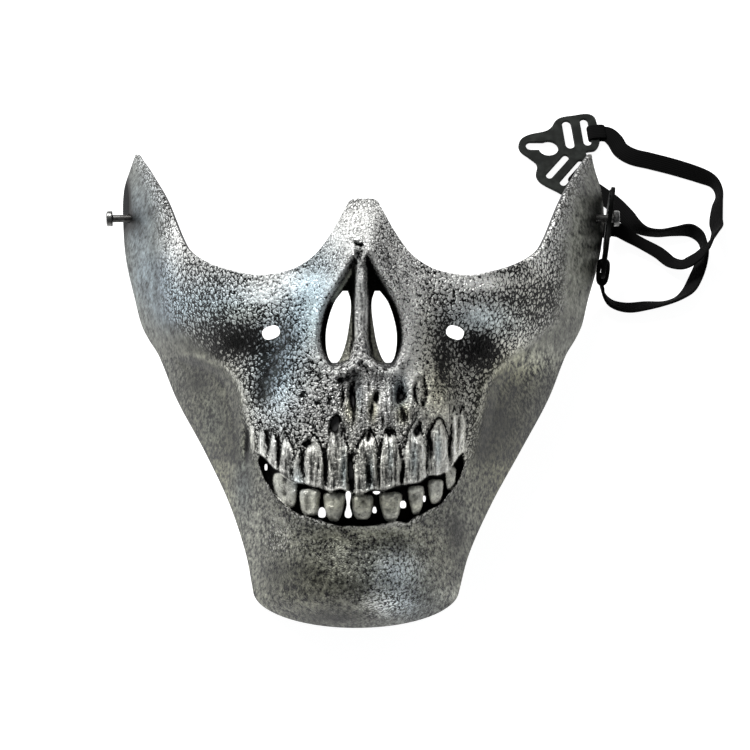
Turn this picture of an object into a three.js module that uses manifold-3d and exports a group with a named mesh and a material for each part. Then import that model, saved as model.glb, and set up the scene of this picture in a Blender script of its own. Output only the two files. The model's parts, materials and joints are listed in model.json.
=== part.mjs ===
// A half-face skull mask lying face up on a table: one moulded shell with a stud on each ear,
// and a harness of two keyhole plates joined by two flat elastics.
// Millimetres, +Z up, the table at z = 0.
//
// The shell is laid out in front view. "across" runs to the right and "up" towards the ears'
// tips, both measured in the plane of the ears' back edges, and "depth" runs from that plane
// towards the viewer. The face then leans forward until its jaw line lies on the table.

import * as THREE from 'three';
import { mergeVertices } from 'three/addons/utils/BufferGeometryUtils.js';
import Module from 'manifold-3d';

const wasm = await Module();
wasm.setup();

// Driving sizes
const wall = 2.2; // moulded wall of the shell
const viewDistance = 600; // from the viewer to the plane of the ears' back edges
const viewAcross = 4.8; // the viewer stands a little to the right of the middle
const faceLean = THREE.MathUtils.degToRad(22); // lean of the face as it lies on its jaw line
const jawHinge = 18; // level below which the rim follows the table
const noseMiddle = -0.7; // the nose sits a little left of the middle

const chin = { level: -86, left: -44, right: 38.4, drop: 15.2, lift: 14 };
const studs = { across: 93.6, up: 62.6, forward: 0.2, shank: 3, reach: 6.4, head: 6.2, headThick: 2.4 };
const flange = { diameter: 5, thick: 1.2, gap: 1.7 };
const studHole = 3.8;
const plateThick = 1.6;
const elastic = { wide: 7, thick: 1.3, steps: 44 };
const pastEdge = 1.1; // how far past the outline a section is read at most, in half widths
const noseRound = 2.4; // power of the nose's section
const dentFall = 1.2; // how fast a dent fades past its half sizes
const holeSquare = 0.8; // below 1 squares the ends of the small holes
const sightCut = { near: 120, far: 30 }; // depths between which the clear holes are cut
const drillReach = 9; // each way from the ear's surface
const sides = { stud: 14, drill: 16, vent: 14, gap: 8, slotEnd: 5 }; // facets of round things
const rowPull = 1.5; // how soon the rows leave the top rim's shape on their way to the chin's
const curveDivisions = 800;

// Grid of the shell: columns from ear to ear, and bands of rows from the top rim to the chin,
// closest where the teeth are. The inner wall takes every second column and row.
const columns = 72;
const rowBands = [
  { to: 0.58, rows: 18 },
  { to: 0.8, rows: 18 },
  { to: 1, rows: 8 },
];

// Back edges of the ears and edges of the jaw plates
const sideEdges = [
  { up: 88.2, left: -91, right: 91.4 },
  { up: 82, left: -93.2, right: 92.8 },
  { up: 74, left: -95.6, right: 95.2 },
  { up: 62, left: -96, right: 96.4 },
  { up: 46, left: -94.8, right: 94.4 },
  { up: 30, left: -91.2, right: 90 },
  { up: 20, left: -88.6, right: 87.6 },
  { up: 14, left: -85.6, right: 84.8 },
  { up: 8, left: -81.8, right: 81.2 },
  { up: -10, left: -74.4, right: 74 },
  { up: -30, left: -63.6, right: 63.2 },
  { up: -50, left: -54, right: 52 },
  { up: -70, left: -47.2, right: 42.8 },
  { up: chin.level, left: chin.left, right: chin.right },
];

// Top rim from the middle of the nose to the tip of an ear, the same on both sides
const topRim = [
  { across: 0, up: 70.6 },
  { across: 5.4, up: 69.8 },
  { across: 8, up: 65.5 },
  { across: 12.2, up: 58 },
  { across: 17.8, up: 50 },
  { across: 23, up: 45.4 },
  { across: 30, up: 41.9 },
  { across: 42, up: 39.8 },
  { across: 53, up: 41.4 },
  { across: 64, up: 45 },
  { across: 71, up: 49.6 },
  { across: 74, up: 55 },
  { across: 76.8, up: 62 },
  { across: 79.6, up: 69 },
  { across: 83.2, up: 76 },
  { across: 87.4, up: 83 },
  { across: 91.2, up: 88.2 },
];

// Sections across the face: depth of the front line, and the power that squares the section
const sections = [
  { up: 88, front: 80, power: 3.3 },
  { up: 46, front: 82, power: 3.3 },
  { up: 20, front: 84, power: 3.3 },
  { up: 0, front: 86, power: 3 },
  { up: -14, front: 89, power: 2.8 },
  { up: -30, front: 91.5, power: 2.7 },
  { up: -46, front: 92, power: 2.7 },
  { up: -56, front: 88.5, power: 2.7 },
  { up: -64, front: 85, power: 2.7 },
  { up: -74, front: 85.5, power: 2.7 },
  { up: -83, front: 86, power: 2.6 },
  { up: -91, front: 81, power: 2.5 },
  { up: -97, front: 71, power: 2.3 },
  { up: -101.2, front: 59, power: 2.2 },
];

// The nose stands on the sections: its height on the middle line, and its half width
const noseSections = [
  { up: 78, height: 5, half: 9 },
  { up: 70, height: 9, half: 10 },
  { up: 60, height: 15, half: 12 },
  { up: 52, height: 18, half: 14.5 },
  { up: 40, height: 17, half: 18.5 },
  { up: 28, height: 13.5, half: 22 },
  { up: 14, height: 8.5, half: 25 },
  { up: 2, height: 4.5, half: 28 },
  { up: -12, height: 1.5, half: 30 },
  { up: -24, height: 0, half: 30 },
];

// Half width of the nasal opening's rim at each level
const nasalRim = [
  { up: 53, half: 0.2 },
  { up: 47, half: 3.6 },
  { up: 41, half: 7.2 },
  { up: 35, half: 11 },
  { up: 29, half: 14.6 },
  { up: 22, half: 17 },
  { up: 14, half: 17.8 },
  { up: 7, half: 16 },
  { up: 3.4, half: 10.5 },
  { up: 2, half: 0.2 },
];
const nasalDepth = { sink: 6.5, slope: 3.2, septumHalf: 2.7, septumKeep: 0.82 };

// Clear hole of a nostril: its inner and outer side, measured from the septum's middle
const nostril = [
  { up: 33.6, inner: 5.4, outer: 7.4 },
  { up: 30, inner: 4.3, outer: 10.2 },
  { up: 26, inner: 4.2, outer: 12 },
  { up: 22, inner: 4.6, outer: 13.2 },
  { up: 18, inner: 5.2, outer: 14 },
  { up: 14, inner: 5.9, outer: 14.2 },
  { up: 10, inner: 7, outer: 13.9 },
  { up: 6.6, inner: 8.4, outer: 13 },
  { up: 5, inner: 9.6, outer: 11.9 },
];
const vents = { across: 36.8, up: 17, long: 7.2, high: 5.2, tilt: 20 };

// Lower border of the cheekbone, where the jaw plate drops away: distance from the middle
const cheekBorder = [
  { up: 11, across: 86 },
  { up: 8.6, across: 74 },
  { up: 7, across: 67 },
  { up: 5.2, across: 61.4 },
  { up: 2.4, across: 56 },
  { up: -0.8, across: 52.6 },
  { up: -5, across: 50 },
  { up: -12, across: 48.4 },
  { up: -26, across: 45.4 },
  { up: -38, across: 42.2 },
  { up: -48, across: 38.4 },
  { up: -60, across: 32 },
];
const jawStep = { drop: 4, run: 5.5, fadeFrom: -2, fadeTo: -44, rim: 0.8 };
const cheekCrest = { rise: 1.1, half: 1.8, earFrom: 7, earTo: 10 };

// Soft dents, the same on both sides: the cheek hollow and the groove under it
const cheekDents = [
  { across: 45, up: 14, depth: 4.6, halfAcross: 13, halfUp: 9 },
  { across: 35.5, up: 9, depth: 2.6, halfAcross: 7, halfUp: 9 },
  { across: 38.5, up: -6, depth: 2.6, halfAcross: 5.5, halfUp: 10 },
];

// Upper teeth, from left to right
const upperTeeth = [
  { across: -40.8, wide: 4.1 },
  { across: -36.5, wide: 4.2 },
  { across: -30.9, wide: 6 },
  { across: -25.9, wide: 4.4 },
  { across: -19.7, wide: 8.8 },
  { across: -10.3, wide: 9.2 },
  { across: 1.5, wide: 10.1 },
  { across: 11.2, wide: 9.3 },
  { across: 20.9, wide: 9.5 },
  { across: 30.1, wide: 8.8 },
  { across: 38.2, wide: 7.4 },
];
const toothRelief = { groove: 1.9, round: 2.6, rootsFrom: -3, rootsTo: -20 };

// Lower teeth: pegs standing in the open mouth, wide at the top and narrow at the root
const lowerTeeth = [
  { across: -30.2, top: -41.6, root: -52.6, wide: 7.4, rootWide: 5.6 },
  { across: -21.2, top: -45, root: -55.6, wide: 8.6, rootWide: 6 },
  { across: -11.6, top: -47.6, root: -58.6, wide: 9, rootWide: 4.6 },
  { across: -0.2, top: -48.4, root: -58, wide: 9, rootWide: 5.4 },
  { across: 11.3, top: -47.4, root: -58.6, wide: 9.4, rootWide: 4.8 },
  { across: 21.2, top: -44.2, root: -56, wide: 7, rootWide: 3.6 },
  { across: 29.2, top: -40.6, root: -51, wide: 6.4, rootWide: 4.4 },
  { across: 35.8, top: -34.8, root: -43, wide: 4.8, rootWide: 3.6 },
];
const mouth = {
  middle: -0.6,
  half: 42,
  upperEdge: { level: -47.2, rise: 16.5, reach: 41.5, power: 2.6 },
  lowerEdge: { level: -60, rise: 22, reach: 40.5, power: 3.4 },
  sink: 5.5,
  corner: 3,
  bite: 1.4,
  toothRise: 5.2,
};
const pegs = { swell: 1.15, round: 0.6 };

// Room that the inner wall leaves behind the nasal opening and the mouth
const innerRoom = {
  nose: { deeper: 8.5, up: 26, halfAcross: 21, halfUp: 28 },
  mouth: { deeper: 6, halfAcross: 44, halfUp: 9 },
};

// Sunken spots among the roots of the upper teeth
const rootPits = [
  { across: -10.6, up: -20.5, depth: 2.2, halfAcross: 3.2, halfUp: 4.4 },
  { across: 1.2, up: -24.5, depth: 1.8, halfAcross: 2.6, halfUp: 3.6 },
  { across: 11, up: -23.6, depth: 1.8, halfAcross: 2.8, halfUp: 3.4 },
  { across: 21.6, up: -22.6, depth: 1.8, halfAcross: 2.4, halfUp: 3.8 },
  { across: 27, up: -26, depth: 1.6, halfAcross: 1.8, halfUp: 8 },
  { across: -4, up: -8.5, depth: 1.8, halfAcross: 2.2, halfUp: 6.6 },
  { across: 15, up: -8, depth: 1.6, halfAcross: 2.2, halfUp: 6 },
  { across: 23, up: -7, depth: 1.4, halfAcross: 3.2, halfUp: 5.2 },
];

// Clear gaps between the lower teeth
const toothGaps = [
  { across: -16.4, up: -55.2, wide: 2.6, high: 3.6 },
  { across: -5.9, up: -52.2, wide: 2.8, high: 10.5 },
  { across: 5.2, up: -53.8, wide: 1.9, high: 3.4 },
  { across: 16.2, up: -52, wide: 2.6, high: 3.6 },
  { across: 25, up: -49.4, wide: 1.7, high: 3 },
];

// Keyhole plate, drawn flat with its round hole at the origin and its tip to the left
const plateOutline = [
  { x: -12.6, y: 1.4 },
  { x: -11.2, y: 4.6 },
  { x: -7.8, y: 6.6 },
  { x: -0.8, y: 8.4 },
  { x: 1.6, y: 10.2 },
  { x: 3.4, y: 13.2 },
  { x: 5.8, y: 14.9 },
  { x: 11, y: 15.9 },
  { x: 17.2, y: 16.7 },
  { x: 20, y: 15.2 },
  { x: 21, y: 11.4 },
  { x: 21.6, y: 3 },
  { x: 19.6, y: -0.8 },
  { x: 15.6, y: -2 },
  { x: 17, y: -5.6 },
  { x: 16.2, y: -9.2 },
  { x: 8.2, y: -20.4 },
  { x: 5.4, y: -21.8 },
  { x: 2.6, y: -20.4 },
  { x: -4, y: -16.2 },
  { x: -5.8, y: -13 },
  { x: -5.2, y: -7.8 },
  { x: -8.2, y: -4.6 },
  { x: -11.8, y: -1.4 },
];
const plateSlots = [
  { fromX: 8.1, fromY: 11.4, toX: 9.1, toY: 1.8, wide: 3.8 },
  { fromX: 15.5, fromY: 12.6, toX: 16.5, toY: 3, wide: 3.4 },
  { fromX: 6.9, fromY: -4.6, toX: -0.2, toY: -13.1, wide: 2.8 },
  { fromX: 13, fromY: -7.2, toX: 5.4, toY: -16.5, wide: 2.8 },
];
const keyhole = { halfAcross: 4.1, halfUp: 3.5, neck: 3.8, neckEnd: -7.6, neckUp: 1.1 };

// The free plate lies flat on the elastics folded under its bars; the hooked one hangs on the right
// stud, turned over, its tip up the ear
const freePlate = { x: 77.6, y: 111.5, lift: 1.5 };
const hookedPlate = { outerFace: 5.6, lift: 0.8, tilt: 6, turn: -30 };

// Routes of the elastics from the hooked plate to the free one, and the roll of their width:
// 0 lies flat on the table and 90 stands on its edge
const upperRoute = [
  { x: 100.9, y: 71.4, z: 7.4, roll: 0 },
  { x: 104.4, y: 71.2, z: 5.8, roll: 8 },
  { x: 108.4, y: 69.6, z: 3.8, roll: 20 },
  { x: 113, y: 67, z: 3.2, roll: 34 },
  { x: 120.2, y: 62.4, z: 3.2, roll: 42 },
  { x: 125, y: 57.6, z: 4, roll: 46 },
  { x: 129.4, y: 55.6, z: 6.8, roll: 50 },
  { x: 134.4, y: 57.4, z: 9.8, roll: 60 },
  { x: 137.6, y: 60.4, z: 11.5, roll: 74 },
  { x: 139.9, y: 63.6, z: 11.5, roll: 84 },
  { x: 142.2, y: 67.2, z: 9.4, roll: 82 },
  { x: 144.3, y: 71.8, z: 6, roll: 66 },
  { x: 144.7, y: 77, z: 3.8, roll: 56 },
  { x: 145.8, y: 84, z: 3.8, roll: 66 },
  { x: 147, y: 89.4, z: 4, roll: 82 },
  { x: 145.4, y: 94.4, z: 4, roll: 82 },
  { x: 140.6, y: 97.6, z: 3.8, roll: 62 },
  { x: 130, y: 102, z: 3.2, roll: 46 },
  { x: 119.6, y: 105.4, z: 2.8, roll: 38 },
  { x: 112.7, y: 107.6, z: 2.4, roll: 30 },
  { x: 108, y: 111, z: 2.2, roll: 18 },
  { x: 105.8, y: 115.4, z: 2.2, roll: 8 },
  { x: 103.2, y: 118.2, z: 2.3, roll: 2 },
  { x: 100.5, y: 118.8, z: 2.3, roll: 0 },
];
const lowerRoute = [
  { x: 95.2, y: 47.8, z: 11.6, roll: 90 },
  { x: 95.4, y: 44.9, z: 8.3, roll: 86 },
  { x: 96.8, y: 41.7, z: 5.6, roll: 76 },
  { x: 100, y: 38.9, z: 4.3, roll: 66 },
  { x: 106, y: 37.6, z: 3.8, roll: 56 },
  { x: 113.6, y: 38.5, z: 3.8, roll: 60 },
  { x: 121.2, y: 39.6, z: 3.9, roll: 82 },
  { x: 126.8, y: 41.8, z: 3.8, roll: 70 },
  { x: 131, y: 45.4, z: 3.2, roll: 44 },
  { x: 133.9, y: 50.2, z: 2.8, roll: 36 },
  { x: 136.5, y: 56, z: 3.2, roll: 46 },
  { x: 138.4, y: 61.4, z: 3.8, roll: 70 },
  { x: 138.7, y: 65.4, z: 3.9, roll: 84 },
  { x: 137.4, y: 69.6, z: 3.9, roll: 80 },
  { x: 133.4, y: 72.4, z: 3.6, roll: 62 },
  { x: 127, y: 71.8, z: 3.8, roll: 72 },
  { x: 121, y: 71, z: 4, roll: 84 },
  { x: 115.6, y: 71.8, z: 4, roll: 84 },
  { x: 111.4, y: 74.8, z: 3.7, roll: 60 },
  { x: 107.6, y: 80, z: 2.8, roll: 30 },
  { x: 103.4, y: 85.4, z: 2.3, roll: 16 },
  { x: 97, y: 91, z: 2.2, roll: 8 },
  { x: 91.4, y: 95.4, z: 2.3, roll: 0 },
];

// Small helpers
const clamp = THREE.MathUtils.clamp;
const ramp = (value, from, to) => THREE.MathUtils.smoothstep(value, from, to);

// A smooth curve through one column of a table, read at any value of its key column.
function through(table, key, name) {
  const rows = [...table].sort((one, other) => one[key] - other[key]);
  const last = rows.length - 1;
  const slopes = rows.map((row, i) => {
    const before = rows[Math.max(i - 1, 0)];
    const after = rows[Math.min(i + 1, last)];
    return (after[name] - before[name]) / (after[key] - before[key]);
  });
  return (at) => {
    let i = 0;
    while (i < last - 1 && at > rows[i + 1][key]) i += 1;
    const span = rows[i + 1][key] - rows[i][key];
    const s = clamp((at - rows[i][key]) / span, 0, 1);
    const s2 = s * s;
    const s3 = s2 * s;
    return (
      rows[i][name] * (2 * s3 - 3 * s2 + 1) +
      rows[i + 1][name] * (3 * s2 - 2 * s3) +
      span * (slopes[i] * (s3 - 2 * s2 + s) + slopes[i + 1] * (s3 - s2))
    );
  };
}

const leftEdge = through(sideEdges, 'up', 'left');
const rightEdge = through(sideEdges, 'up', 'right');
const frontLine = through(sections, 'up', 'front');
const sectionPower = through(sections, 'up', 'power');
const noseHeight = through(noseSections, 'up', 'height');
const noseHalf = through(noseSections, 'up', 'half');
const nasalHalf = through(nasalRim, 'up', 'half');
const cheekLine = through(cheekBorder, 'up', 'across');

// A bowl-shaped fall-off: 1 in the middle, near 0 past its half sizes.
function bowl(across, up, spot) {
  const a = (across - spot.across) / spot.halfAcross;
  const b = (up - spot.up) / spot.halfUp;
  return Math.exp(-dentFall * (a * a + b * b));
}

// A point of the front view, pushed along the line of sight to its depth.
function place(across, up, depth) {
  const nearer = depth / viewDistance;
  return new THREE.Vector3(across + (viewAcross - across) * nearer, up * (1 - nearer), depth);
}

// The outline at a level: its two sides, and the depth of its rim.
function outline(up) {
  const chinMiddle = (chin.left + chin.right) / 2;
  const chinHalf = (chin.right - chin.left) / 2;
  const slope = Math.tan(faceLean);
  const table = (slope * (jawHinge - up)) / (1 - (slope * up) / viewDistance);
  const back = Math.max(table, 0);
  if (up >= chin.level) return { left: leftEdge(up), right: rightEdge(up), back };
  const fall = clamp((chin.level - up) / chin.drop, 0, 1);
  const half = Math.max(chinHalf * Math.sqrt(1 - fall * fall), 0.5);
  return { left: chinMiddle - half, right: chinMiddle + half, back: back + chin.lift * fall * fall };
}

// Signed distance past the cheekbone's lower border, positive on the jaw plate.
function pastCheek(across, up) {
  const step = 0.5;
  const slope = (cheekLine(up + step) - cheekLine(up - step)) / (2 * step);
  return (Math.abs(across) - cheekLine(up)) / Math.hypot(1, slope);
}

// Large forms that both walls follow: squared sections, nose, cheek hollows and jaw plates.
function form(across, up) {
  const { left, right, back } = outline(up);
  const t = Math.min(Math.abs((2 * across - left - right) / (right - left)), pastEdge);
  const section = 1 - t ** sectionPower(up);
  let depth = back + (frontLine(up) - back) * section;
  const aside = Math.abs(across - noseMiddle) / noseHalf(up);
  depth += noseHeight(up) * Math.exp(-(aside ** noseRound));
  for (const dent of cheekDents) depth -= dent.depth * bowl(Math.abs(across), up, dent);
  const fade = ramp(up, jawStep.fadeTo, jawStep.fadeFrom) * (1 - ramp(t, jawStep.rim, 1));
  depth -= jawStep.drop * fade * ramp(pastCheek(across, up), 0, jawStep.run);
  return depth;
}

const upperLip = (across) => mouthEdge(across, mouth.upperEdge);
const lowerLip = (across) => mouthEdge(across, mouth.lowerEdge);

// Level of an edge of the mouth: flat in front and rising round the sides.
function mouthEdge(across, edge) {
  return edge.level + edge.rise * (Math.abs(across - mouth.middle) / edge.reach) ** edge.power;
}

// How far a spot lies in the open mouth, between the upper teeth and the chin.
function inMouth(across, up) {
  const sides = 1 - ramp(Math.abs(across - mouth.middle), mouth.half - mouth.corner, mouth.half);
  const below = ramp(upperLip(across) - up, 0, mouth.bite);
  const above = ramp(up - lowerLip(across), 0, mouth.bite);
  return sides * below * above;
}

// Height of the lower teeth: each peg is a rounded wedge.
function lowerTooth(across, up) {
  let height = 0;
  for (const tooth of lowerTeeth) {
    const along = (tooth.top - up) / (tooth.top - tooth.root);
    const half = THREE.MathUtils.lerp(tooth.wide, tooth.rootWide, clamp(along, 0, 1)) / 2;
    const aside = Math.abs(across - tooth.across) / half;
    const away = aside ** 4 + Math.abs(2 * along - 1) ** 6;
    height = Math.max(height, clamp(pegs.swell - away, 0, 1) ** pegs.round);
  }
  return height;
}

// Depth of the grooves between the upper teeth, rounded ridges that run up into their roots.
function upperTooth(across, up) {
  let ridge = 0;
  for (const tooth of upperTeeth) {
    const aside = Math.abs(across - tooth.across) / (tooth.wide / 2);
    ridge = Math.max(ridge, Math.sqrt(Math.max(1 - aside ** toothRelief.round, 0)));
  }
  const sides = 1 - ramp(Math.abs(across), mouth.half, mouth.half + mouth.corner);
  const rooted = 1 - ramp(up, toothRelief.rootsTo, toothRelief.rootsFrom);
  const above = 1 - ramp(upperLip(across) - up, 0, mouth.bite);
  return (ridge - 1) * toothRelief.groove * sides * rooted * above;
}

// Fine forms of the outer wall alone: nasal opening, septum, teeth, roots and the cheek's crest.
function relief(across, up) {
  const aside = Math.abs(across - noseMiddle);
  const inside = nasalHalf(up) - aside;
  const level = up < nasalRim[0].up && up > nasalRim.at(-1).up;
  const within = level ? ramp(inside, 0, nasalDepth.slope) : 0;
  const septum = nasalDepth.septumKeep * Math.exp(-((aside / nasalDepth.septumHalf) ** 4));
  let height = -nasalDepth.sink * within * (1 - septum);
  const open = inMouth(across, up);
  height -= mouth.sink * open;
  height += mouth.toothRise * open * lowerTooth(across, up);
  height += upperTooth(across, up);
  for (const pit of rootPits) height -= pit.depth * bowl(across, up, pit);
  const crest = (pastCheek(across, up) + cheekCrest.half) / cheekCrest.half;
  const onEar = ramp(up, cheekCrest.earFrom, cheekCrest.earTo);
  const fade = ramp(up, jawStep.fadeTo, jawStep.fadeFrom) * (1 - onEar);
  height += cheekCrest.rise * fade * Math.exp(-crest * crest);
  return height;
}

// How much deeper the inner wall lies behind the nasal opening and the mouth.
function innerDrop(across, up) {
  const room = (box, a, b) => box.deeper * Math.exp(-((a / box.halfAcross) ** 6) - (b / box.halfUp) ** 4);
  const mouthLevel = (upperLip(across) + lowerLip(across)) / 2;
  const behindNose = room(innerRoom.nose, across - noseMiddle, up - innerRoom.nose.up);
  return behindNose + room(innerRoom.mouth, across - mouth.middle, up - mouthLevel);
}

// Outer wall at a spot of the front view.
const outer = (across, up) => place(across, up, form(across, up) + relief(across, up));

// Outward direction of the large forms at a spot.
function outward(across, up) {
  const step = 0.4;
  const at = (a, b) => place(a, b, form(a, b));
  const alongAcross = at(across + step, up).sub(at(across - step, up));
  const alongUp = at(across, up + step).sub(at(across, up - step));
  return alongAcross.cross(alongUp).normalize();
}

// Inner wall at a spot: the large forms, one wall thickness in.
function inner(across, up) {
  const base = place(across, up, form(across, up)).addScaledVector(outward(across, up), -wall);
  base.z -= innerDrop(across, up);
  return base;
}

// The four edges of the shell in front view, as curves of even pace.
function edgeCurve(points) {
  const curve = new THREE.CatmullRomCurve3(points.map(([a, b]) => new THREE.Vector3(a, b, 0)));
  curve.arcLengthDivisions = curveDivisions;
  return curve;
}

const half = topRim.map((row) => [row.across, row.up]);
const topCurve = edgeCurve([...half.slice(1).reverse().map(([a, b]) => [-a, b]), ...half]);
const leftCurve = edgeCurve(sideEdges.map((row) => [row.left, row.up]));
const rightCurve = edgeCurve(sideEdges.map((row) => [row.right, row.up]));
const chinSteps = 16;
const chinCurve = edgeCurve(
  Array.from({ length: chinSteps + 1 }, (_, i) => {
    const turn = (Math.PI * i) / chinSteps;
    const middle = (chin.left + chin.right) / 2;
    const reach = (chin.right - chin.left) / 2;
    return [middle - reach * Math.cos(turn), chin.level - chin.drop * Math.sin(turn)];
  })
);

// A spot of the front view blended between the four edges; u runs across and v down.
function spot(u, v) {
  const top = topCurve.getPointAt(u);
  const bottom = chinCurve.getPointAt(u);
  const left = leftCurve.getPointAt(v);
  const right = rightCurve.getPointAt(v);
  const pull = (1 - v) ** rowPull;
  const mix = (name) => {
    const rows = pull * top[name] + (1 - pull) * bottom[name];
    const sides = (1 - u) * left[name] + u * right[name];
    const topEnds = (1 - u) * topCurve.getPointAt(0)[name] + u * topCurve.getPointAt(1)[name];
    const chinEnds = (1 - u) * chinCurve.getPointAt(0)[name] + u * chinCurve.getPointAt(1)[name];
    return rows + sides - pull * topEnds - (1 - pull) * chinEnds;
  };
  return [mix('x'), mix('y')];
}

// Positions of the rows from the top rim to the chin.
function rowPositions() {
  const positions = [0];
  for (const band of rowBands) {
    const from = positions.at(-1);
    for (let i = 1; i <= band.rows; i += 1) positions.push(from + ((band.to - from) * i) / band.rows);
  }
  return positions;
}

// A closed geometry from points and triangles.
function meshGeometry(points, triangles) {
  const geometry = new THREE.BufferGeometry();
  const numbers = points.flatMap((point) => point.toArray());
  geometry.setAttribute('position', new THREE.Float32BufferAttribute(numbers, 3));
  geometry.setIndex(triangles.flat());
  return geometry;
}

// The thick shell before its holes are cut: outer grid, half-pace inner grid, and the rim between.
function shellGeometry() {
  const rows = rowPositions();
  const down = rows.length - 1;
  const points = [];
  const triangles = [];
  const outerAt = (i, j) => j * (columns + 1) + i;
  const innerStart = (columns + 1) * (down + 1);
  const innerAt = (i, j) => innerStart + (j / 2) * (columns / 2 + 1) + i / 2;
  const spots = rows.map((v) => Array.from({ length: columns + 1 }, (_, i) => spot(i / columns, v)));
  spots.forEach((row) => row.forEach(([a, b]) => points.push(outer(a, b))));
  for (let j = 0; j <= down; j += 2) {
    for (let i = 0; i <= columns; i += 2) points.push(inner(...spots[j][i]));
  }
  // Two triangles for a cell whose corners run round it; the cut leaves from the low outer corner.
  const cell = (a, b, c, d, leftHalf) => {
    if (leftHalf) triangles.push([a, b, d], [b, c, d]);
    else triangles.push([a, b, c], [a, c, d]);
  };
  for (let j = 0; j < down; j += 1) {
    for (let i = 0; i < columns; i += 1) {
      const leftHalf = i < columns / 2;
      cell(outerAt(i, j), outerAt(i, j + 1), outerAt(i + 1, j + 1), outerAt(i + 1, j), leftHalf);
    }
  }
  for (let j = 0; j < down; j += 2) {
    for (let i = 0; i < columns; i += 2) {
      const leftHalf = i < columns / 2;
      cell(innerAt(i, j), innerAt(i + 2, j), innerAt(i + 2, j + 2), innerAt(i, j + 2), !leftHalf);
    }
  }
  const loop = [];
  for (let i = 0; i < columns; i += 1) loop.push([i, 0]);
  for (let j = 0; j < down; j += 1) loop.push([columns, j]);
  for (let i = columns; i > 0; i -= 1) loop.push([i, down]);
  for (let j = down; j > 0; j -= 1) loop.push([0, j]);
  for (let k = 0; k < loop.length; k += 2) {
    const [first, middle, last] = [0, 1, 2].map((n) => loop[(k + n) % loop.length]);
    const [o0, o1, o2] = [first, middle, last].map((at) => outerAt(...at));
    const [i0, i1] = [first, last].map((at) => innerAt(...at));
    triangles.push([o0, o1, i0], [o1, o2, i1], [o1, i1, i0]);
  }
  return meshGeometry(points, triangles);
}

// Solid from a geometry, and geometry from a solid.
function solid(geometry) {
  const vertProperties = new Float32Array(geometry.attributes.position.array);
  const triVerts = new Uint32Array(geometry.index.array);
  return new wasm.Manifold(new wasm.Mesh({ numProp: 3, vertProperties, triVerts }));
}

function fromSolid(body) {
  const mesh = body.getMesh();
  const geometry = new THREE.BufferGeometry();
  geometry.setAttribute('position', new THREE.BufferAttribute(new Float32Array(mesh.vertProperties), 3));
  geometry.setIndex(new THREE.BufferAttribute(new Uint32Array(mesh.triVerts), 1));
  return geometry;
}

// A prism along the lines of sight over an outline of the front view that runs anticlockwise.
function sightPrism(outlinePoints, nearDepth, farDepth) {
  const count = outlinePoints.length;
  const layer = (depth) => outlinePoints.map(([a, b]) => place(a, b, depth));
  const points = [...layer(nearDepth), ...layer(farDepth)];
  const triangles = [];
  for (let i = 0; i < count; i += 1) {
    const next = (i + 1) % count;
    triangles.push([i, count + i, next], [next, count + i, count + next]);
  }
  const flat = outlinePoints.map(([a, b]) => new THREE.Vector2(a, b));
  for (const [a, b, c] of THREE.ShapeUtils.triangulateShape(flat, [])) {
    triangles.push([a, b, c], [count + c, count + b, count + a]);
  }
  return solid(meshGeometry(points, triangles));
}

// A round or long hole's outline in front view.
function roundOutline(across, up, wide, high, turn, count) {
  return Array.from({ length: count }, (_, i) => {
    const angle = (2 * Math.PI * i) / count;
    const squared = (value) => Math.sign(value) * Math.abs(value) ** holeSquare;
    const a = (wide / 2) * squared(Math.cos(angle));
    const b = (high / 2) * squared(Math.sin(angle));
    return [across + a * Math.cos(turn) - b * Math.sin(turn), up + a * Math.sin(turn) + b * Math.cos(turn)];
  });
}

// Outlines of every hole that is seen clear through the shell.
function holeOutlines() {
  const outlines = [];
  const tilt = THREE.MathUtils.degToRad(vents.tilt);
  for (const side of [-1, 1]) {
    const outside = nostril.map((row) => [noseMiddle + side * row.outer, row.up]);
    const inside = nostril.map((row) => [noseMiddle + side * row.inner, row.up]).reverse();
    const round = [...outside, ...inside];
    outlines.push(side < 0 ? round : round.reverse());
    const vent = [side * vents.across, vents.up, vents.long, vents.high];
    outlines.push(roundOutline(...vent, -side * tilt, sides.vent));
  }
  for (const gap of toothGaps) {
    outlines.push(roundOutline(gap.across, gap.up, gap.wide, gap.high, 0, sides.gap));
  }
  return outlines;
}

// Place and direction of a stud on its ear.
function studFrame(side) {
  const across = side * studs.across;
  const square = new THREE.Vector3(1, 1, studs.forward);
  const axis = outward(across, studs.up).multiply(square).normalize();
  return { at: outer(across, studs.up), axis };
}

// A geometry with only its positions, and its shared corners merged.
function welded(geometry) {
  geometry.deleteAttribute('normal');
  geometry.deleteAttribute('uv');
  return mergeVertices(geometry, 1e-4);
}

// A turned piece whose axis runs along a direction, starting at a point.
function turned(profile, count, at, axis) {
  const lathe = new THREE.LatheGeometry(profile.map(([r, y]) => new THREE.Vector2(r, y)), count);
  const turn = new THREE.Quaternion().setFromUnitVectors(new THREE.Vector3(0, 1, 0), axis);
  lathe.applyQuaternion(turn);
  lathe.translate(at.x, at.y, at.z);
  return lathe;
}

// A stud: a flange inside the ear, a shank through it, and a round head outside.
function studGeometry(side) {
  const { at, axis } = studFrame(side);
  const flangeTop = -(wall + flange.gap);
  const headTop = studs.reach + studs.headThick;
  const edge = 0.4;
  const profile = [
    [0, flangeTop - flange.thick],
    [flange.diameter / 2, flangeTop - flange.thick],
    [flange.diameter / 2, flangeTop],
    [studs.shank / 2, flangeTop],
    [studs.shank / 2, studs.reach],
    [studs.head / 2, studs.reach],
    [studs.head / 2, headTop - edge],
    [studs.head / 2 - edge, headTop],
    [0, headTop],
  ];
  return turned(profile, sides.stud, at, axis);
}

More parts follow.
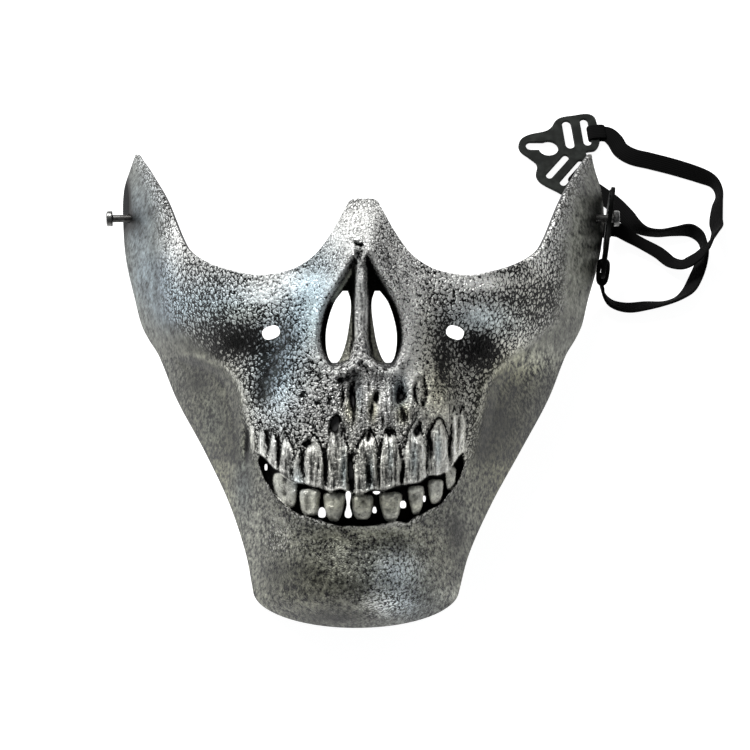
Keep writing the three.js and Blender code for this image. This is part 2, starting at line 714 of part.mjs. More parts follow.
// The shell with its clear holes and stud holes cut.
function maskShell() {
  let body = solid(shellGeometry());
  for (const hole of holeOutlines()) {
    body = body.subtract(sightPrism(hole, sightCut.near, sightCut.far));
  }
  for (const side of [-1, 1]) {
    const { at, axis } = studFrame(side);
    const radius = studHole / 2;
    const profile = [
      [0, -drillReach],
      [radius, -drillReach],
      [radius, drillReach],
      [0, drillReach],
    ];
    body = body.subtract(solid(welded(turned(profile, sides.drill, at, axis))));
  }
  return fromSolid(body);
}

// Outline of a slot with round ends.
function slotPath(slot) {
  const turn = Math.atan2(slot.toY - slot.fromY, slot.toX - slot.fromX);
  const path = new THREE.Path();
  path.absarc(slot.toX, slot.toY, slot.wide / 2, turn - Math.PI / 2, turn + Math.PI / 2, false);
  path.absarc(slot.fromX, slot.fromY, slot.wide / 2, turn + Math.PI / 2, turn + 1.5 * Math.PI, false);
  path.closePath();
  return path;
}

// Outline of the keyhole: a round hole that runs into a neck with a round end.
function keyholePath() {
  const { halfAcross, halfUp, neck, neckEnd, neckUp } = keyhole;
  const meet = (up) => Math.PI - Math.asin(up / halfUp);
  const path = new THREE.Path();
  const from = meet(neckUp - neck / 2);
  const to = meet(neckUp + neck / 2) + 2 * Math.PI;
  path.absellipse(0, 0, halfAcross, halfUp, from, to, false);
  path.absarc(neckEnd, neckUp, neck / 2, Math.PI / 2, 1.5 * Math.PI, false);
  path.closePath();
  return path;
}

// The keyhole plate, lying on z = 0.
function plateGeometry() {
  const shape = new THREE.Shape(plateOutline.map(({ x, y }) => new THREE.Vector2(x, y)));
  shape.holes.push(...plateSlots.map(slotPath), keyholePath());
  const curveSegments = sides.slotEnd;
  return new THREE.ExtrudeGeometry(shape, { depth: plateThick, bevelEnabled: false, curveSegments });
}

// Hangs a plate on the right stud by its round hole, its legs down the ear and its back outwards,
// tilted a little so that the legs lie closer to the ear than the tip does.
function hangOnStud(mesh) {
  const { at, axis } = studFrame(1);
  const down = new THREE.Vector3(0, -1, 0).addScaledVector(axis, axis.y).normalize();
  const front = down.clone().cross(axis);
  const tilt = THREE.MathUtils.degToRad(hookedPlate.tilt);
  const inward = axis.clone().negate().applyAxisAngle(front, -tilt);
  down.applyAxisAngle(front, -tilt);
  mesh.quaternion.setFromRotationMatrix(new THREE.Matrix4().makeBasis(down, front, inward));
  mesh.rotateZ(THREE.MathUtils.degToRad(hookedPlate.turn));
  mesh.position.copy(at).addScaledVector(axis, hookedPlate.outerFace);
  mesh.position.addScaledVector(down, -hookedPlate.lift);
}

// A flat elastic along a route, as a four-sided section turned by each row's roll.
function ribbonGeometry(route) {
  const curve = new THREE.CatmullRomCurve3(route.map((row) => new THREE.Vector3(row.x, row.y, row.z)));
  const rolls = route.map((row, i) => ({ at: i / (route.length - 1), roll: row.roll }));
  const rollAt = through(rolls, 'at', 'roll');
  const corners = [
    [1, 1],
    [-1, 1],
    [-1, -1],
    [1, -1],
  ];
  const points = [];
  const triangles = [];
  const upright = new THREE.Vector3(0, 0, 1);
  for (let step = 0; step <= elastic.steps; step += 1) {
    const t = curve.getUtoTmapping(step / elastic.steps);
    const along = curve.getTangent(t);
    const level = along.clone().cross(upright).normalize();
    const raised = level.clone().cross(along);
    const roll = THREE.MathUtils.degToRad(rollAt(t));
    const across = level.clone().multiplyScalar(Math.cos(roll)).addScaledVector(raised, Math.sin(roll));
    const face = across.clone().cross(along);
    for (const [w, h] of corners) {
      const corner = curve.getPoint(t).addScaledVector(across, (w * elastic.wide) / 2);
      points.push(corner.addScaledVector(face, (h * elastic.thick) / 2));
    }
  }
  for (let step = 0; step < elastic.steps; step += 1) {
    for (let side = 0; side < 4; side += 1) {
      const [a, b] = [step * 4 + side, step * 4 + ((side + 1) % 4)];
      triangles.push([a, b + 4, b], [a, a + 4, b + 4]);
    }
  }
  const end = elastic.steps * 4;
  triangles.push([0, 1, 2], [0, 2, 3], [end, end + 2, end + 1], [end, end + 3, end + 2]);
  return meshGeometry(points, triangles);
}

// A piece with its own finish.
function piece(name, geometry, colour, roughness, metalness) {
  const finish = new THREE.MeshStandardMaterial({ color: colour, roughness, metalness });
  const mesh = new THREE.Mesh(geometry, finish);
  mesh.name = name;
  return mesh;
}

const mask = new THREE.Group();
mask.rotation.x = faceLean;
mask.add(piece('mask_shell', maskShell(), 0x8d8f8c, 0.5, 0.6));
mask.add(piece('strap_post_left', studGeometry(-1), 0x3a3a38, 0.5, 0.4));
mask.add(piece('strap_post_right', studGeometry(1), 0x3a3a38, 0.5, 0.4));

// The mask is set down with its lowest rim on the table, over the origin.
mask.updateMatrixWorld(true);
const lying = new THREE.Box3().setFromObject(mask, true);
const middle = lying.getCenter(new THREE.Vector3());
mask.position.set(-middle.x, -middle.y, -lying.min.z);

const black = 0x141414;
const hooked = piece('strap_plate_hooked', plateGeometry(), black, 0.55, 0);
hangOnStud(hooked);
mask.add(hooked);

const free = piece('strap_plate_free', plateGeometry(), black, 0.55, 0);
free.position.set(freePlate.x, freePlate.y, freePlate.lift);

const model = new THREE.Group();
model.add(mask, free);
model.add(piece('strap_upper', ribbonGeometry(upperRoute), black, 0.9, 0));
model.add(piece('strap_lower', ribbonGeometry(lowerRoute), black, 0.9, 0));

export default model;
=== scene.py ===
"""Looks of a half-face skull mask lying face up on a pale floor: a painted shell with a stud on each
ear, and a harness of two keyhole plates joined by two flat elastics.

Tables are in millimetres. The shell is laid out in front view, as "across" and "up" in the plane of the
ears' back edges, with "depth" towards the viewer; the face then leans until its jaw lies on the floor."""
import json
import math

import bpy
import numpy as np
from mathutils import Matrix, Vector


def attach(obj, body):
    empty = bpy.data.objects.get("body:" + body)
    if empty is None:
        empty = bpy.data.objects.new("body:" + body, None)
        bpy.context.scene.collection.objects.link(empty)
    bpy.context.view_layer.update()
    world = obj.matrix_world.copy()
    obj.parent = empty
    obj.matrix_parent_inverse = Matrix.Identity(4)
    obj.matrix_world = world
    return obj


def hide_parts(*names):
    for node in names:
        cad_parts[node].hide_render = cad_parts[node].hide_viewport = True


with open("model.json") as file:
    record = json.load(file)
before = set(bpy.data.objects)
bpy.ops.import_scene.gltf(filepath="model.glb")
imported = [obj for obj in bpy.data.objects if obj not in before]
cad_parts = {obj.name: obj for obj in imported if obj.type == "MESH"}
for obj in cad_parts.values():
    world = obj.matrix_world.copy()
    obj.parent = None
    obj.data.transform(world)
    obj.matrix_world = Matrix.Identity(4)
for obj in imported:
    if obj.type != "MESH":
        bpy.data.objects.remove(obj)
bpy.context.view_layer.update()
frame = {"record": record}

MM = 0.001


def table(names, rows):
    """Columns of a short table, by name."""
    return dict(zip(names.split(), np.array(rows, float).T))


SPOT = "across up amount half_across half_up"

# Driving sizes
WALL = 2.2
RIM_BULGE = 0.35
VIEW_DISTANCE = 600.0
VIEW_ACROSS = 4.8
FACE_LEAN = math.radians(22)
LEAN = np.array([
    [1, 0, 0],
    [0, math.cos(FACE_LEAN), math.sin(FACE_LEAN)],
    [0, -math.sin(FACE_LEAN), math.cos(FACE_LEAN)],
])
MASK_PLACE = np.array([0.01, 12.384, -5.780])
JAW_HINGE = 18.0
NOSE_MIDDLE = -0.7
NOSE_ROUND = 2.4
PAST_EDGE = 1.1
ROW_PULL = 1.5
PHOTO_SIZE = 750
PIXEL = 0.4
CHIN = dict(level=-86.0, left=-44.0, right=38.4, drop=15.2, lift=14.0)
CHIN_MIDDLE = (CHIN["left"] + CHIN["right"]) / 2
CHIN_HALF = (CHIN["right"] - CHIN["left"]) / 2

# Grid of the shell: the inner wall takes every third column and row
COLUMNS = 348
ROW_BANDS = table("to rows", [(0.58, 111), (0.8, 90), (1.0, 36)])
INNER_PACE = 3
# Angles in degrees above which faces meet in a crease
CREASE = dict(shell=48, hard=40, band=60)

SIDE_EDGES = table("up left right", [
    (88.2, -91, 91.4),
    (82, -93.2, 92.8),
    (74, -95.6, 95.2),
    (62, -96, 96.4),
    (46, -94.8, 94.4),
    (30, -91.2, 90),
    (20, -88.6, 87.6),
    (14, -85.6, 84.8),
    (8, -81.8, 81.2),
    (-10, -74.4, 74),
    (-30, -63.6, 63.2),
    (-50, -54, 52),
    (-70, -47.2, 42.8),
    (CHIN["level"], CHIN["left"], CHIN["right"]),
])
TOP_RIM = table("across up", [
    (0, 70.6),
    (5.4, 69.8),
    (8, 65.5),
    (12.2, 58),
    (17.8, 50),
    (23, 45.4),
    (30, 41.9),
    (42, 39.8),
    (53, 41.4),
    (64, 45),
    (71, 49.6),
    (74, 55),
    (76.8, 62),
    (79.6, 69),
    (83.2, 76),
    (87.4, 83),
    (91.2, 88.2),
])
SECTIONS = table("up front power", [
    (88, 80, 3.3),
    (46, 82, 3.3),
    (20, 84, 3.3),
    (0, 86, 3),
    (-14, 89, 2.8),
    (-30, 91.5, 2.7),
    (-46, 92, 2.7),
    (-56, 88.5, 2.7),
    (-64, 85, 2.7),
    (-74, 85.5, 2.7),
    (-83, 86, 2.6),
    (-91, 81, 2.5),
    (-97, 71, 2.3),
    (-101.2, 59, 2.2),
])
NOSE_SECTIONS = table("up height half", [
    (78, 5, 9),
    (70, 9, 10),
    (60, 15, 12),
    (52, 18, 14.5),
    (40, 17, 18.5),
    (28, 13.5, 22),
    (14, 8.5, 25),
    (2, 4.5, 28),
    (-12, 1.5, 30),
    (-24, 0, 30),
])
NASAL_RIM = table("up half", [
    (53, 0.2),
    (47, 3.6),
    (41, 7.2),
    (35, 11),
    (29, 14.6),
    (22, 17),
    (14, 17.8),
    (7, 16),
    (2, 12.5),
])
NASAL = dict(start=-0.5, sink=7.6, slope=3.0, septum_half=2.8, septum_keep=0.9, foot=2.2)
NASAL_LIP = dict(rise=1.1, at=-1.6, half=2.2)
NASAL_FLOOR = dict(level=2.6, lobe=11.0, bend=0.055)
SEPTUM_FOOT = (3, 17)
NOSTRIL = table("up inner outer", [
    (33.6, 5.4, 7.4),
    (30, 4.3, 10.2),
    (26, 4.2, 12),
    (22, 4.6, 13.2),
    (18, 5.2, 14),
    (14, 5.9, 14.2),
    (10, 7, 13.9),
    (6.6, 8.4, 13),
    (5, 9.6, 11.9),
])
VENT = dict(across=36.8, up=17.0, long=7.2, high=5.2, tilt=20.0)
CHEEK_BORDER = table("up across", [
    (11, 86),
    (8.6, 74),
    (7, 67),
    (5.2, 61.4),
    (2.4, 56),
    (-0.8, 52.6),
    (-5, 50),
    (-12, 48.4),
    (-26, 45.4),
    (-38, 42.2),
    (-48, 38.4),
    (-60, 32),
])
JAW_STEP = dict(drop=4.0, run=5.5, crest=1.2, crest_half=1.6, fade_from=-2.0, fade_to=-44.0, rim=0.8)
CHEEK_DENTS = table("across up depth half_across half_up", [
    (45, 14, 4.6, 13, 9),
    (35.5, 9, 2.6, 7, 9),
    (38.5, -6, 2.6, 5.5, 10),
])
DENT_FALL = 1.2
CREST_TOP = (7, 10)

# Random lumps: how far they go up and down, their width and height, and their seed
LATTICE = 64
LUMPS = dict(
    sway=(0.7, 4.4, 6, 11),
    lift=(1.1, 4.4, 6, 12),
    peg_dents=(1, 2.4, 2.8, 7),
    streaks=(1, 1.1, 9, 5),
    fine_streaks=(0.7, 0.7, 6, 6),
    knobs=(0.5, 1.9, 4.2, 8),
    nubs=(0.35, 1.3, 1.7, 9),
    small=(0.22, 4.2, 3.8, 1),
    large=(0.3, 9, 8, 2),
)

# Upper teeth: sides at the biting edge, the level where the crown's arch ends, and how far it stands out
UPPER_TEETH = table("left right root rise", [
    (-46.6, -43, -18, 0.9),
    (-42.9, -38.8, -19, 1.2),
    (-38.6, -34.4, -22, 1.6),
    (-33.9, -27.9, -24.4, 2),
    (-28, -23.7, -29, 1.2),
    (-24.1, -15.3, -24.6, 2),
    (-14.9, -5.7, -17.4, 2.3),
    (-3.6, 6.5, -22.6, 2.3),
    (6.5, 15.8, -22, 2.1),
    (16.1, 25.6, -19, 2.1),
    (25.7, 34.5, -18.4, 2),
    (34.5, 38.2, -14.2, 1.6),
    (38.3, 42, -12.8, 1.3),
])
CROWN = dict(rise=0.55, narrow=0.42, arch=4.5, pace=0.6, start=-0.2, edge=1.7, sunk=0.8, gap=0.3, streak=0.26)
SOCKET = dict(depth=0.9, at=-0.4, half=0.6, least=0.2)
# Stretches of a crown where it narrows and sinks, of the gaps' fading above the bite, and of the row's ends
CROWN_NARROWS = (0.25, 1.1)
CROWN_SINKS = (0.5, 1)
GAPS_FADE = (4, 13)
ROW_ENDS = (3, 7)

# Lower teeth: pegs in the open mouth, wide at the top and narrow at the root
LOWER_TEETH = table("across top root wide root_wide", [
    (-31, -38.4, -54, 11, 8.4),
    (-21.2, -45, -56.8, 9.4, 6.4),
    (-11.6, -46.4, -59, 10, 4.4),
    (-0.2, -47.4, -58, 9.6, 6.4),
    (11.1, -46.4, -59.2, 10.2, 5),
    (21.2, -43.8, -56.4, 7.4, 3.2),
    (29, -41.4, -52, 7, 4.4),
    (35, -36.4, -46.4, 5, 3.4),
])
PEG = dict(taper=1.6, side=4, end=5, full=1.02, dome=0.5)
MOUTH = dict(middle=-0.6, half=42.0, sink=5.6, corner=3.0, bite=1.2, tooth_rise=5.0)
PEG_DENTS = dict(depth=1.1, lower=0.3)
UPPER_LIP = table("across up", [
    (-44, -30),
    (-41, -32.6),
    (-36, -36.6),
    (-26, -42.2),
    (-16, -45),
    (-9, -46.1),
    (-2, -46.5),
    (5, -45.9),
    (11.4, -44.6),
    (17, -43.5),
    (26, -40.8),
    (33.7, -37.4),
    (36.8, -33.8),
    (41, -30),
])
LOWER_LIP = table("across up", [
    (-43, -33),
    (-41.2, -38),
    (-36.6, -46),
    (-30.6, -52.4),
    (-20.6, -57.6),
    (-10, -59.6),
    (0, -60),
    (10, -59.6),
    (19.4, -57.8),
    (29.4, -52.2),
    (36, -45.6),
    (40, -38),
    (41.8, -33),
])

# Sunken spots among the roots of the upper teeth, and the slit at the bridge of the nose
PITS = table("across up depth half_across half_up", [
    (-10.6, -20.2, 4.2, 2.7, 3.6),
    (2, -25, 2.6, 2, 2.6),
    (11.2, -24, 3, 2.6, 2.2),
    (21.8, -22.2, 3.4, 2, 2.6),
    (-21.8, -27.2, 2.4, 2.8, 1.8),
    (-30.4, -27.4, 1.2, 1.8, 1.6),
    (27.4, -29, 3, 1.7, 8),
    (2.2, -40, 1.9, 1.2, 6),
    (-4.7, -39, 3, 1.3, 8),
    (-15.1, -36, 2, 1, 7),
    (-24, -36, 1.4, 0.9, 5),
    (16, -40.5, 2, 1, 4.5),
    (34.6, -28, 1.5, 0.9, 7),
    (-4, -9.2, 3.2, 1.4, 7),
    (-8.8, -1.6, 0.9, 1.4, 1.4),
    (-8.2, -9, 1.6, 1, 4),
    (5, -9.2, 3, 1.3, 2.8),
    (3.4, -15.6, 1.8, 0.9, 4.6),
    (14.9, -8, 3.2, 2.4, 5),
    (16, -15.6, 1.8, 1.2, 2.6),
    (8, -19, 1.2, 0.8, 4),
    (-38.7, -25, 2, 0.9, 4.6),
    (-34.2, -29, 2, 0.9, 7),
    (-46.6, -27, 2, 1.4, 9),
    (-18, -12, 1.2, 1.6, 2),
    (-24, -8, 1.2, 2, 1.8),
    (-13, -9, 1.2, 1.3, 2.4),
    (-1.8, 52.8, 3.4, 2.2, 0.7),
])
# The oval ring pressed into the bone on the right
OVAL = dict(across=23.3, up=-7.0, half_across=2.7, half_up=4.6, line=0.28, depth=0.9)
# Thin raised lines: the fork at the top of the septum, the bone between the maxilla's pits, hoods over the
# teeth, and the outer folds of the cheeks
RIDGES = table("from_across from_up to_across to_up rise half", [
    (-0.6, 44, -3.4, 51, 1.3, 0.7),
    (-0.6, 44, 2.4, 51.4, 1.6, 0.8),
    (-10, 0, -2.8, 3.2, 1, 1),
    (-2.8, 3.2, 0.8, -1, 1.2, 1),
    (0.8, -1, 1.4, -12, 1, 1.1),
    (-7, -12, -6.4, -3, 0.7, 0.9),
    (3, 4, 3.4, -4, 0.7, 1.1),
    (9.2, -3, 9.4, -19, 0.6, 1.8),
    (19, -2, 19, -15, 0.8, 1.1),
    (-14.4, -26, -13.8, -18.4, 0.9, 0.9),
    (-13.8, -18.4, -10.6, -15, 0.9, 0.9),
    (-10.6, -15, -7.2, -18.6, 0.7, 0.9),
    (-3.4, -34, 1.8, -21.4, 0.8, 0.7),
    (1.8, -21.4, 5.6, -31, 0.6, 0.7),
    (7.4, -27, 11.2, -20.6, 0.7, 0.8),
    (11.2, -20.6, 15, -27, 0.7, 0.8),
    (18.4, -24, 21.6, -18.6, 0.6, 0.8),
    (-25.6, -28, -21.8, -23.8, 0.6, 0.8),
    (-21.8, -23.8, -18, -28, 0.6, 0.8),
    (-83.5, 10.4, -71, 2.2, 0.5, 0.7),
    (82, 9.6, 66, -3, 0.6, 0.8),
])
# Where the bone over the roots is streaked upright
ROOT_STREAKS = table(SPOT, [
    (1, -10, 0.5, 9, 13),
    (11, -14, 0.5, 8, 9),
    (-8, -24, 0.4, 8, 6),
    (22, -18, 0.4, 6, 5),
    (36, -16, 0.6, 6, 8),
    (-0.7, 28, 0.8, 3.6, 18),
])
# Where the bone is uneven between its pits
BONY = table(SPOT, [
    (4, -12, 1, 16, 12),
    (-20, -14, 0.36, 15, 13),
    (28, -8, 0.9, 12, 13),
])
ROOM_BEHIND_NOSE = dict(deeper=9.2, up=26.0, half_across=21.0, half_up=28.0)
ROOM_BEHIND_MOUTH = dict(deeper=6.2, half_across=44.0, half_up=9.0)
TOOTH_GAPS = table("across up wide high waist flare", [
    (-16.4, -55, 3, 4.2, 0, 0.2),
    (-5.9, -51.8, 3.8, 10.8, 0.7, 0.2),
    (4.6, -54, 1.6, 2.6, 0, 0.2),
    (5.4, -47.1, 2.6, 1.3, 0, -0.4),
    (16, -51.8, 2.5, 3, 0, 0.1),
    (24.5, -49.5, 1.1, 2.5, 0, 0),
    (-38.8, -36.9, 1.2, 2.6, 0, 0),
])
HOLE_SQUARE = 0.8
SIGHT_CUT = dict(near=120.0, far=30.0)

# Keyhole plate, drawn flat with its round hole at the origin and its tip to the left
PLATE_OUTLINE = table("x y", [
    (-12.6, 1.4),
    (-11.2, 4.6),
    (-7.8, 6.6),
    (-0.8, 8.4),
    (1.6, 10.2),
    (3.4, 13.2),
    (5.8, 14.9),
    (11, 15.9),
    (17.2, 16.7),
    (20, 15.2),
    (21, 11.4),
    (21.6, 3),
    (19.6, -0.8),
    (15.6, -2),
    (17, -5.6),
    (16.2, -9.2),
    (8.2, -20.4),
    (5.4, -21.8),
    (2.6, -20.4),
    (-4, -16.2),
    (-5.8, -13),
    (-5.2, -7.8),
    (-8.2, -4.6),
    (-11.8, -1.4),
])
PLATE_SLOTS = table("from_x from_y to_x to_y wide", [
    (8.1, 11.4, 9.1, 1.8, 3.8),
    (15.5, 12.6, 16.5, 3, 3.4),
    (6.9, -4.6, -0.2, -13.1, 2.8),
    (13, -7.2, 5.4, -16.5, 2.8),
])
KEYHOLE = dict(half_across=4.1, half_up=3.5, neck=3.8, neck_end=-7.6, neck_up=1.1)
PLATE = dict(thick=1.6, edge=0.3)
FREE_PLATE = np.array([77.6, 111.5, 1.5])
HOOKED_PLATE = dict(outer_face=5.6, lift=0.8, tilt=6.0, turn=-30.0)
# Painted shade: how lit each plate's colour is made, the hooked one almost black
PLATE_LIGHT = dict(free=1.0, hooked=0.08)

# Stud on an ear: lengths along its axis from the ear's outer face
STUD = dict(shank=3.0, reach=6.4, head=6.2, head_thick=2.4, edge=0.8, flange=5.0, flange_thick=1.2)
STUD_BEVEL = 0.3
STUD_BLACK_END = 0.4
BORE = dict(radius=1.9, reach=9.0, count=24)
FLANGE_TOP = -(WALL + 1.7)

# Elastics: routes from the hooked plate to the free one, and the roll of their width
ELASTIC = dict(wide=7.0, thick=1.3, corner=0.38, steps=260, around=20)
UPPER_ROUTE = table("x y z roll", [
    (100.9, 71.4, 7.4, 0),
    (104.4, 71.2, 5.8, 8),
    (108.4, 69.6, 3.8, 20),
    (113, 67, 3.2, 26),
    (120.2, 62.4, 3.2, 22),
    (125, 57.6, 4, 24),
    (129.4, 55.6, 6.8, 32),
    (134.4, 57.4, 9.8, 48),
    (137.6, 60.4, 11.5, 66),
    (139.9, 63.6, 11.5, 84),
    (142.2, 67.2, 9.4, 82),
    (144.3, 71.8, 6, 66),
    (144.7, 77, 3.8, 56),
    (145.8, 84, 3.8, 66),
    (147, 89.4, 4, 82),
    (145.4, 94.4, 4, 82),
    (140.6, 97.6, 3.8, 62),
    (130, 102, 3.2, 46),
    (119.6, 105.4, 2.8, 38),
    (112.7, 107.6, 2.4, 30),
    (108, 111, 2.2, 18),
    (105.8, 115.4, 2.2, 8),
    (103.2, 118.2, 2.3, 2),
    (100.5, 118.8, 2.3, 0),
])
LOWER_ROUTE = table("x y z roll", [
    (95.2, 47.8, 11.6, 90),
    (95.4, 44.9, 8.3, 82),
    (96.8, 41.7, 5.6, 62),
    (100, 38.9, 4.3, 44),
    (106, 37.6, 3.8, 36),
    (113.6, 38.5, 3.8, 42),
    (121.2, 39.6, 3.9, 60),
    (126.8, 41.8, 3.8, 62),
    (131, 45.4, 3.2, 50),
    (133.9, 50.2, 2.8, 46),
    (136.5, 56, 3.2, 52),
    (138.4, 61.4, 3.8, 70),
    (138.7, 65.4, 3.9, 84),
    (137.4, 69.6, 3.9, 80),
    (133.4, 72.4, 3.8, 74),
    (127, 71.8, 4, 88),
    (121, 71, 4, 94),
    (115.6, 71.8, 4, 90),
    (111.4, 74.8, 3.7, 66),
    (107.6, 80, 2.8, 30),
    (103.4, 85.4, 2.3, 16),
    (97, 91, 2.2, 8),
    (91.4, 95.4, 2.3, 0),
])


# Curves, fall-offs and directions
def through(keys, values, at):
    """A smooth curve through a table's points, read at any places: cubic stretches that leave each point
    along the line between its two neighbours, held at the first and last point."""
    order = np.argsort(keys)
    x = keys[order]
    y = values[order]
    before = np.maximum(np.arange(len(x)) - 1, 0)
    after = np.minimum(np.arange(len(x)) + 1, len(x) - 1)
    slopes = (y[after] - y[before]) / (x[after] - x[before])
    i = np.searchsorted(x[1:-1], at)
    span = x[i + 1] - x[i]
    s = np.clip((at - x[i]) / span, 0, 1)
    ends = y[i] * (1 + 2 * s) * (1 - s) ** 2 + y[i + 1] * s * s * (3 - 2 * s)
    return ends + span * s * (1 - s) * (slopes[i] * (1 - s) - slopes[i + 1] * s)


def ramp(value, low, high):
    """0 below low, 1 above high, and a smooth step between."""
    s = np.clip((value - low) / (high - low), 0, 1)
    return s * s * (3 - 2 * s)


def by_level(rows, column, up):
    """A column of a table of levels, read as a smooth curve at any levels."""
    return through(rows["up"], rows[column], up)


def bell(value, middle, half):
    """1 at the middle, falling off with the square of the distance in half sizes."""
    return np.exp(-(((value - middle) / half) ** 2))


def squared(value, power):
    """A sine or cosine pushed towards 1 and -1, which squares off a round outline."""
    return np.sign(value) * np.abs(value) ** power


def circle(count):
    """Even angles once round."""
    return 2 * math.pi * np.arange(count) / count


def unit(vectors):
    """Vectors brought to a length of one."""
    return vectors / np.linalg.norm(vectors, axis=-1, keepdims=True)


def way(points, power=1.0):
    """How far along a line of points each one lies, with the length of each step raised to a power."""
    return np.r_[0, np.cumsum(np.linalg.norm(np.diff(points, axis=0), axis=1) ** power)]


def between(at, keys, points):
    """Points on the straight steps of a line, at places along its keys."""
    return np.stack([np.interp(at, keys, column) for column in points.T], -1)


def bowls(across, up, spots, amount="amount"):
    """Sum of soft round spots: each is its amount in its middle, fading with the square of the distance
    in half sizes."""
    total = np.zeros_like(across)
    columns = [spots[name] for name in ("across", "up", "half_across", "half_up", amount)]
    for a, b, wide, high, strength in zip(*columns):
        total += strength * np.exp(-DENT_FALL * (((across - a) / wide) ** 2 + ((up - b) / high) ** 2))
    return total


def lines(across, up, strokes):
    """The highest of several raised lines: each falls off with the square of the distance to it."""
    total = np.zeros_like(across)
    for a0, b0, a1, b1, rise, half in zip(*strokes.values()):
        along = np.array([a1 - a0, b1 - b0])
        s = np.clip(((across - a0) * along[0] + (up - b0) * along[1]) / (along @ along), 0, 1)
        away = np.hypot(across - a0 - s * along[0], up - b0 - s * along[1])
        total = np.maximum(total, rise * bell(away, 0, half))
    return total


def lumps(across, up, kind):
    """Soft random lumps: a seeded lattice of heights up and down, blended smoothly between its points."""
    amount, wide, high, seed = LUMPS[kind]
    heights = np.random.default_rng(seed).uniform(-1, 1, (LATTICE, LATTICE))
    x = across / wide
    y = up / high
    i = np.floor(x).astype(int)
    j = np.floor(y).astype(int)
    s = ramp(x - i, 0, 1)
    t = ramp(y - j, 0, 1)
    at = lambda di, dj: heights[(i + di) % LATTICE, (j + dj) % LATTICE]
    row = lambda dj: at(0, dj) * (1 - s) + at(1, dj) * s
    return amount * (row(0) * (1 - t) + row(1) * t)


# The face as a depth over its front view
def place(across, up, depth):
    """Points of the front view pushed along the lines of sight to their depth."""
    nearer = depth / VIEW_DISTANCE
    return np.stack([across + (VIEW_ACROSS - across) * nearer, up * (1 - nearer), depth], -1)


def seen(points):
    """Where points of the face lie in front view."""
    nearer = points[:, 2] / VIEW_DISTANCE
    return (points[:, 0] - VIEW_ACROSS * nearer) / (1 - nearer), points[:, 1] / (1 - nearer)


def laid(points):
    """Points of the face leaned forward and set down on the floor, in millimetres."""
    return np.asarray(points, float) @ LEAN + MASK_PLACE


def unlaid(points):
    """Points of the row turned back into the face's own frame."""
    return (points - MASK_PLACE) @ LEAN.T


def outline(up):
    """The outline at a level: its left and right side, and the depth of its rim."""
    slope = math.tan(FACE_LEAN)
    back = np.maximum(slope * (JAW_HINGE - up) / (1 - slope * up / VIEW_DISTANCE), 0)
    fall = np.clip((CHIN["level"] - up) / CHIN["drop"], 0, 1)
    chin_half = np.maximum(CHIN_HALF * np.sqrt(1 - fall * fall), 0.5)
    on_chin = up < CHIN["level"]
    left = np.where(on_chin, CHIN_MIDDLE - chin_half, by_level(SIDE_EDGES, "left", up))
    right = np.where(on_chin, CHIN_MIDDLE + chin_half, by_level(SIDE_EDGES, "right", up))
    return left, right, back + CHIN["lift"] * fall * fall


def past_cheek(across, up):
    """Signed distance past the cheekbone's lower border, positive on the jaw plate."""
    step = 0.5
    border = lambda level: by_level(CHEEK_BORDER, "across", level)
    slope = (border(up + step) - border(up - step)) / (2 * step)
    return (np.abs(across) - border(up)) / np.hypot(1, slope)


def form(across, up):
    """Depth of the large forms: sections squared by a power, the nose as a bell on them, soft dents in
    the cheeks, and the jaw plates a step lower than the cheekbones."""
    left, right, back = outline(up)
    t = np.minimum(np.abs((2 * across - left - right) / (right - left)), PAST_EDGE)
    front = by_level(SECTIONS, "front", up)
    depth = back + (front - back) * (1 - t ** by_level(SECTIONS, "power", up))
    aside = np.abs(across - NOSE_MIDDLE) / by_level(NOSE_SECTIONS, "half", up)
    depth += by_level(NOSE_SECTIONS, "height", up) * np.exp(-(aside**NOSE_ROUND))
    depth -= bowls(np.abs(across), up, CHEEK_DENTS, "depth")
    fade = ramp(up, JAW_STEP["fade_to"], JAW_STEP["fade_from"]) * (1 - ramp(t, JAW_STEP["rim"], 1))
    return depth - JAW_STEP["drop"] * fade * ramp(past_cheek(across, up), 0, JAW_STEP["run"])


def lip(across, edge):
    """Level of an edge of the mouth, which rises round the sides."""
    return through(edge["across"], edge["up"], across)


def in_mouth(across, up):
    """How far a spot lies in the open mouth, between the upper teeth and the chin."""
    sides = 1 - ramp(np.abs(across - MOUTH["middle"]), MOUTH["half"] - MOUTH["corner"], MOUTH["half"])
    below = ramp(lip(across, UPPER_LIP) - up, 0, MOUTH["bite"])
    above = ramp(up - lip(across, LOWER_LIP), 0, MOUTH["bite"])
    return sides * below * above


def lower_teeth(across, up):
    """Height of the lower teeth: each peg is a rounded wedge, full in its middle and gone at its sides."""
    height = np.zeros_like(across)
    for middle, top, root, wide, root_wide in zip(*LOWER_TEETH.values()):
        along = (top - up) / (top - root)
        half = (wide + (root_wide - wide) * np.clip(along, 0, 1) ** PEG["taper"]) / 2
        away = (np.abs(across - middle) / half) ** PEG["side"] + np.abs(2 * along - 1) ** PEG["end"]
        height = np.maximum(height, np.clip(PEG["full"] - away, 0, 1) ** PEG["dome"])
    return height


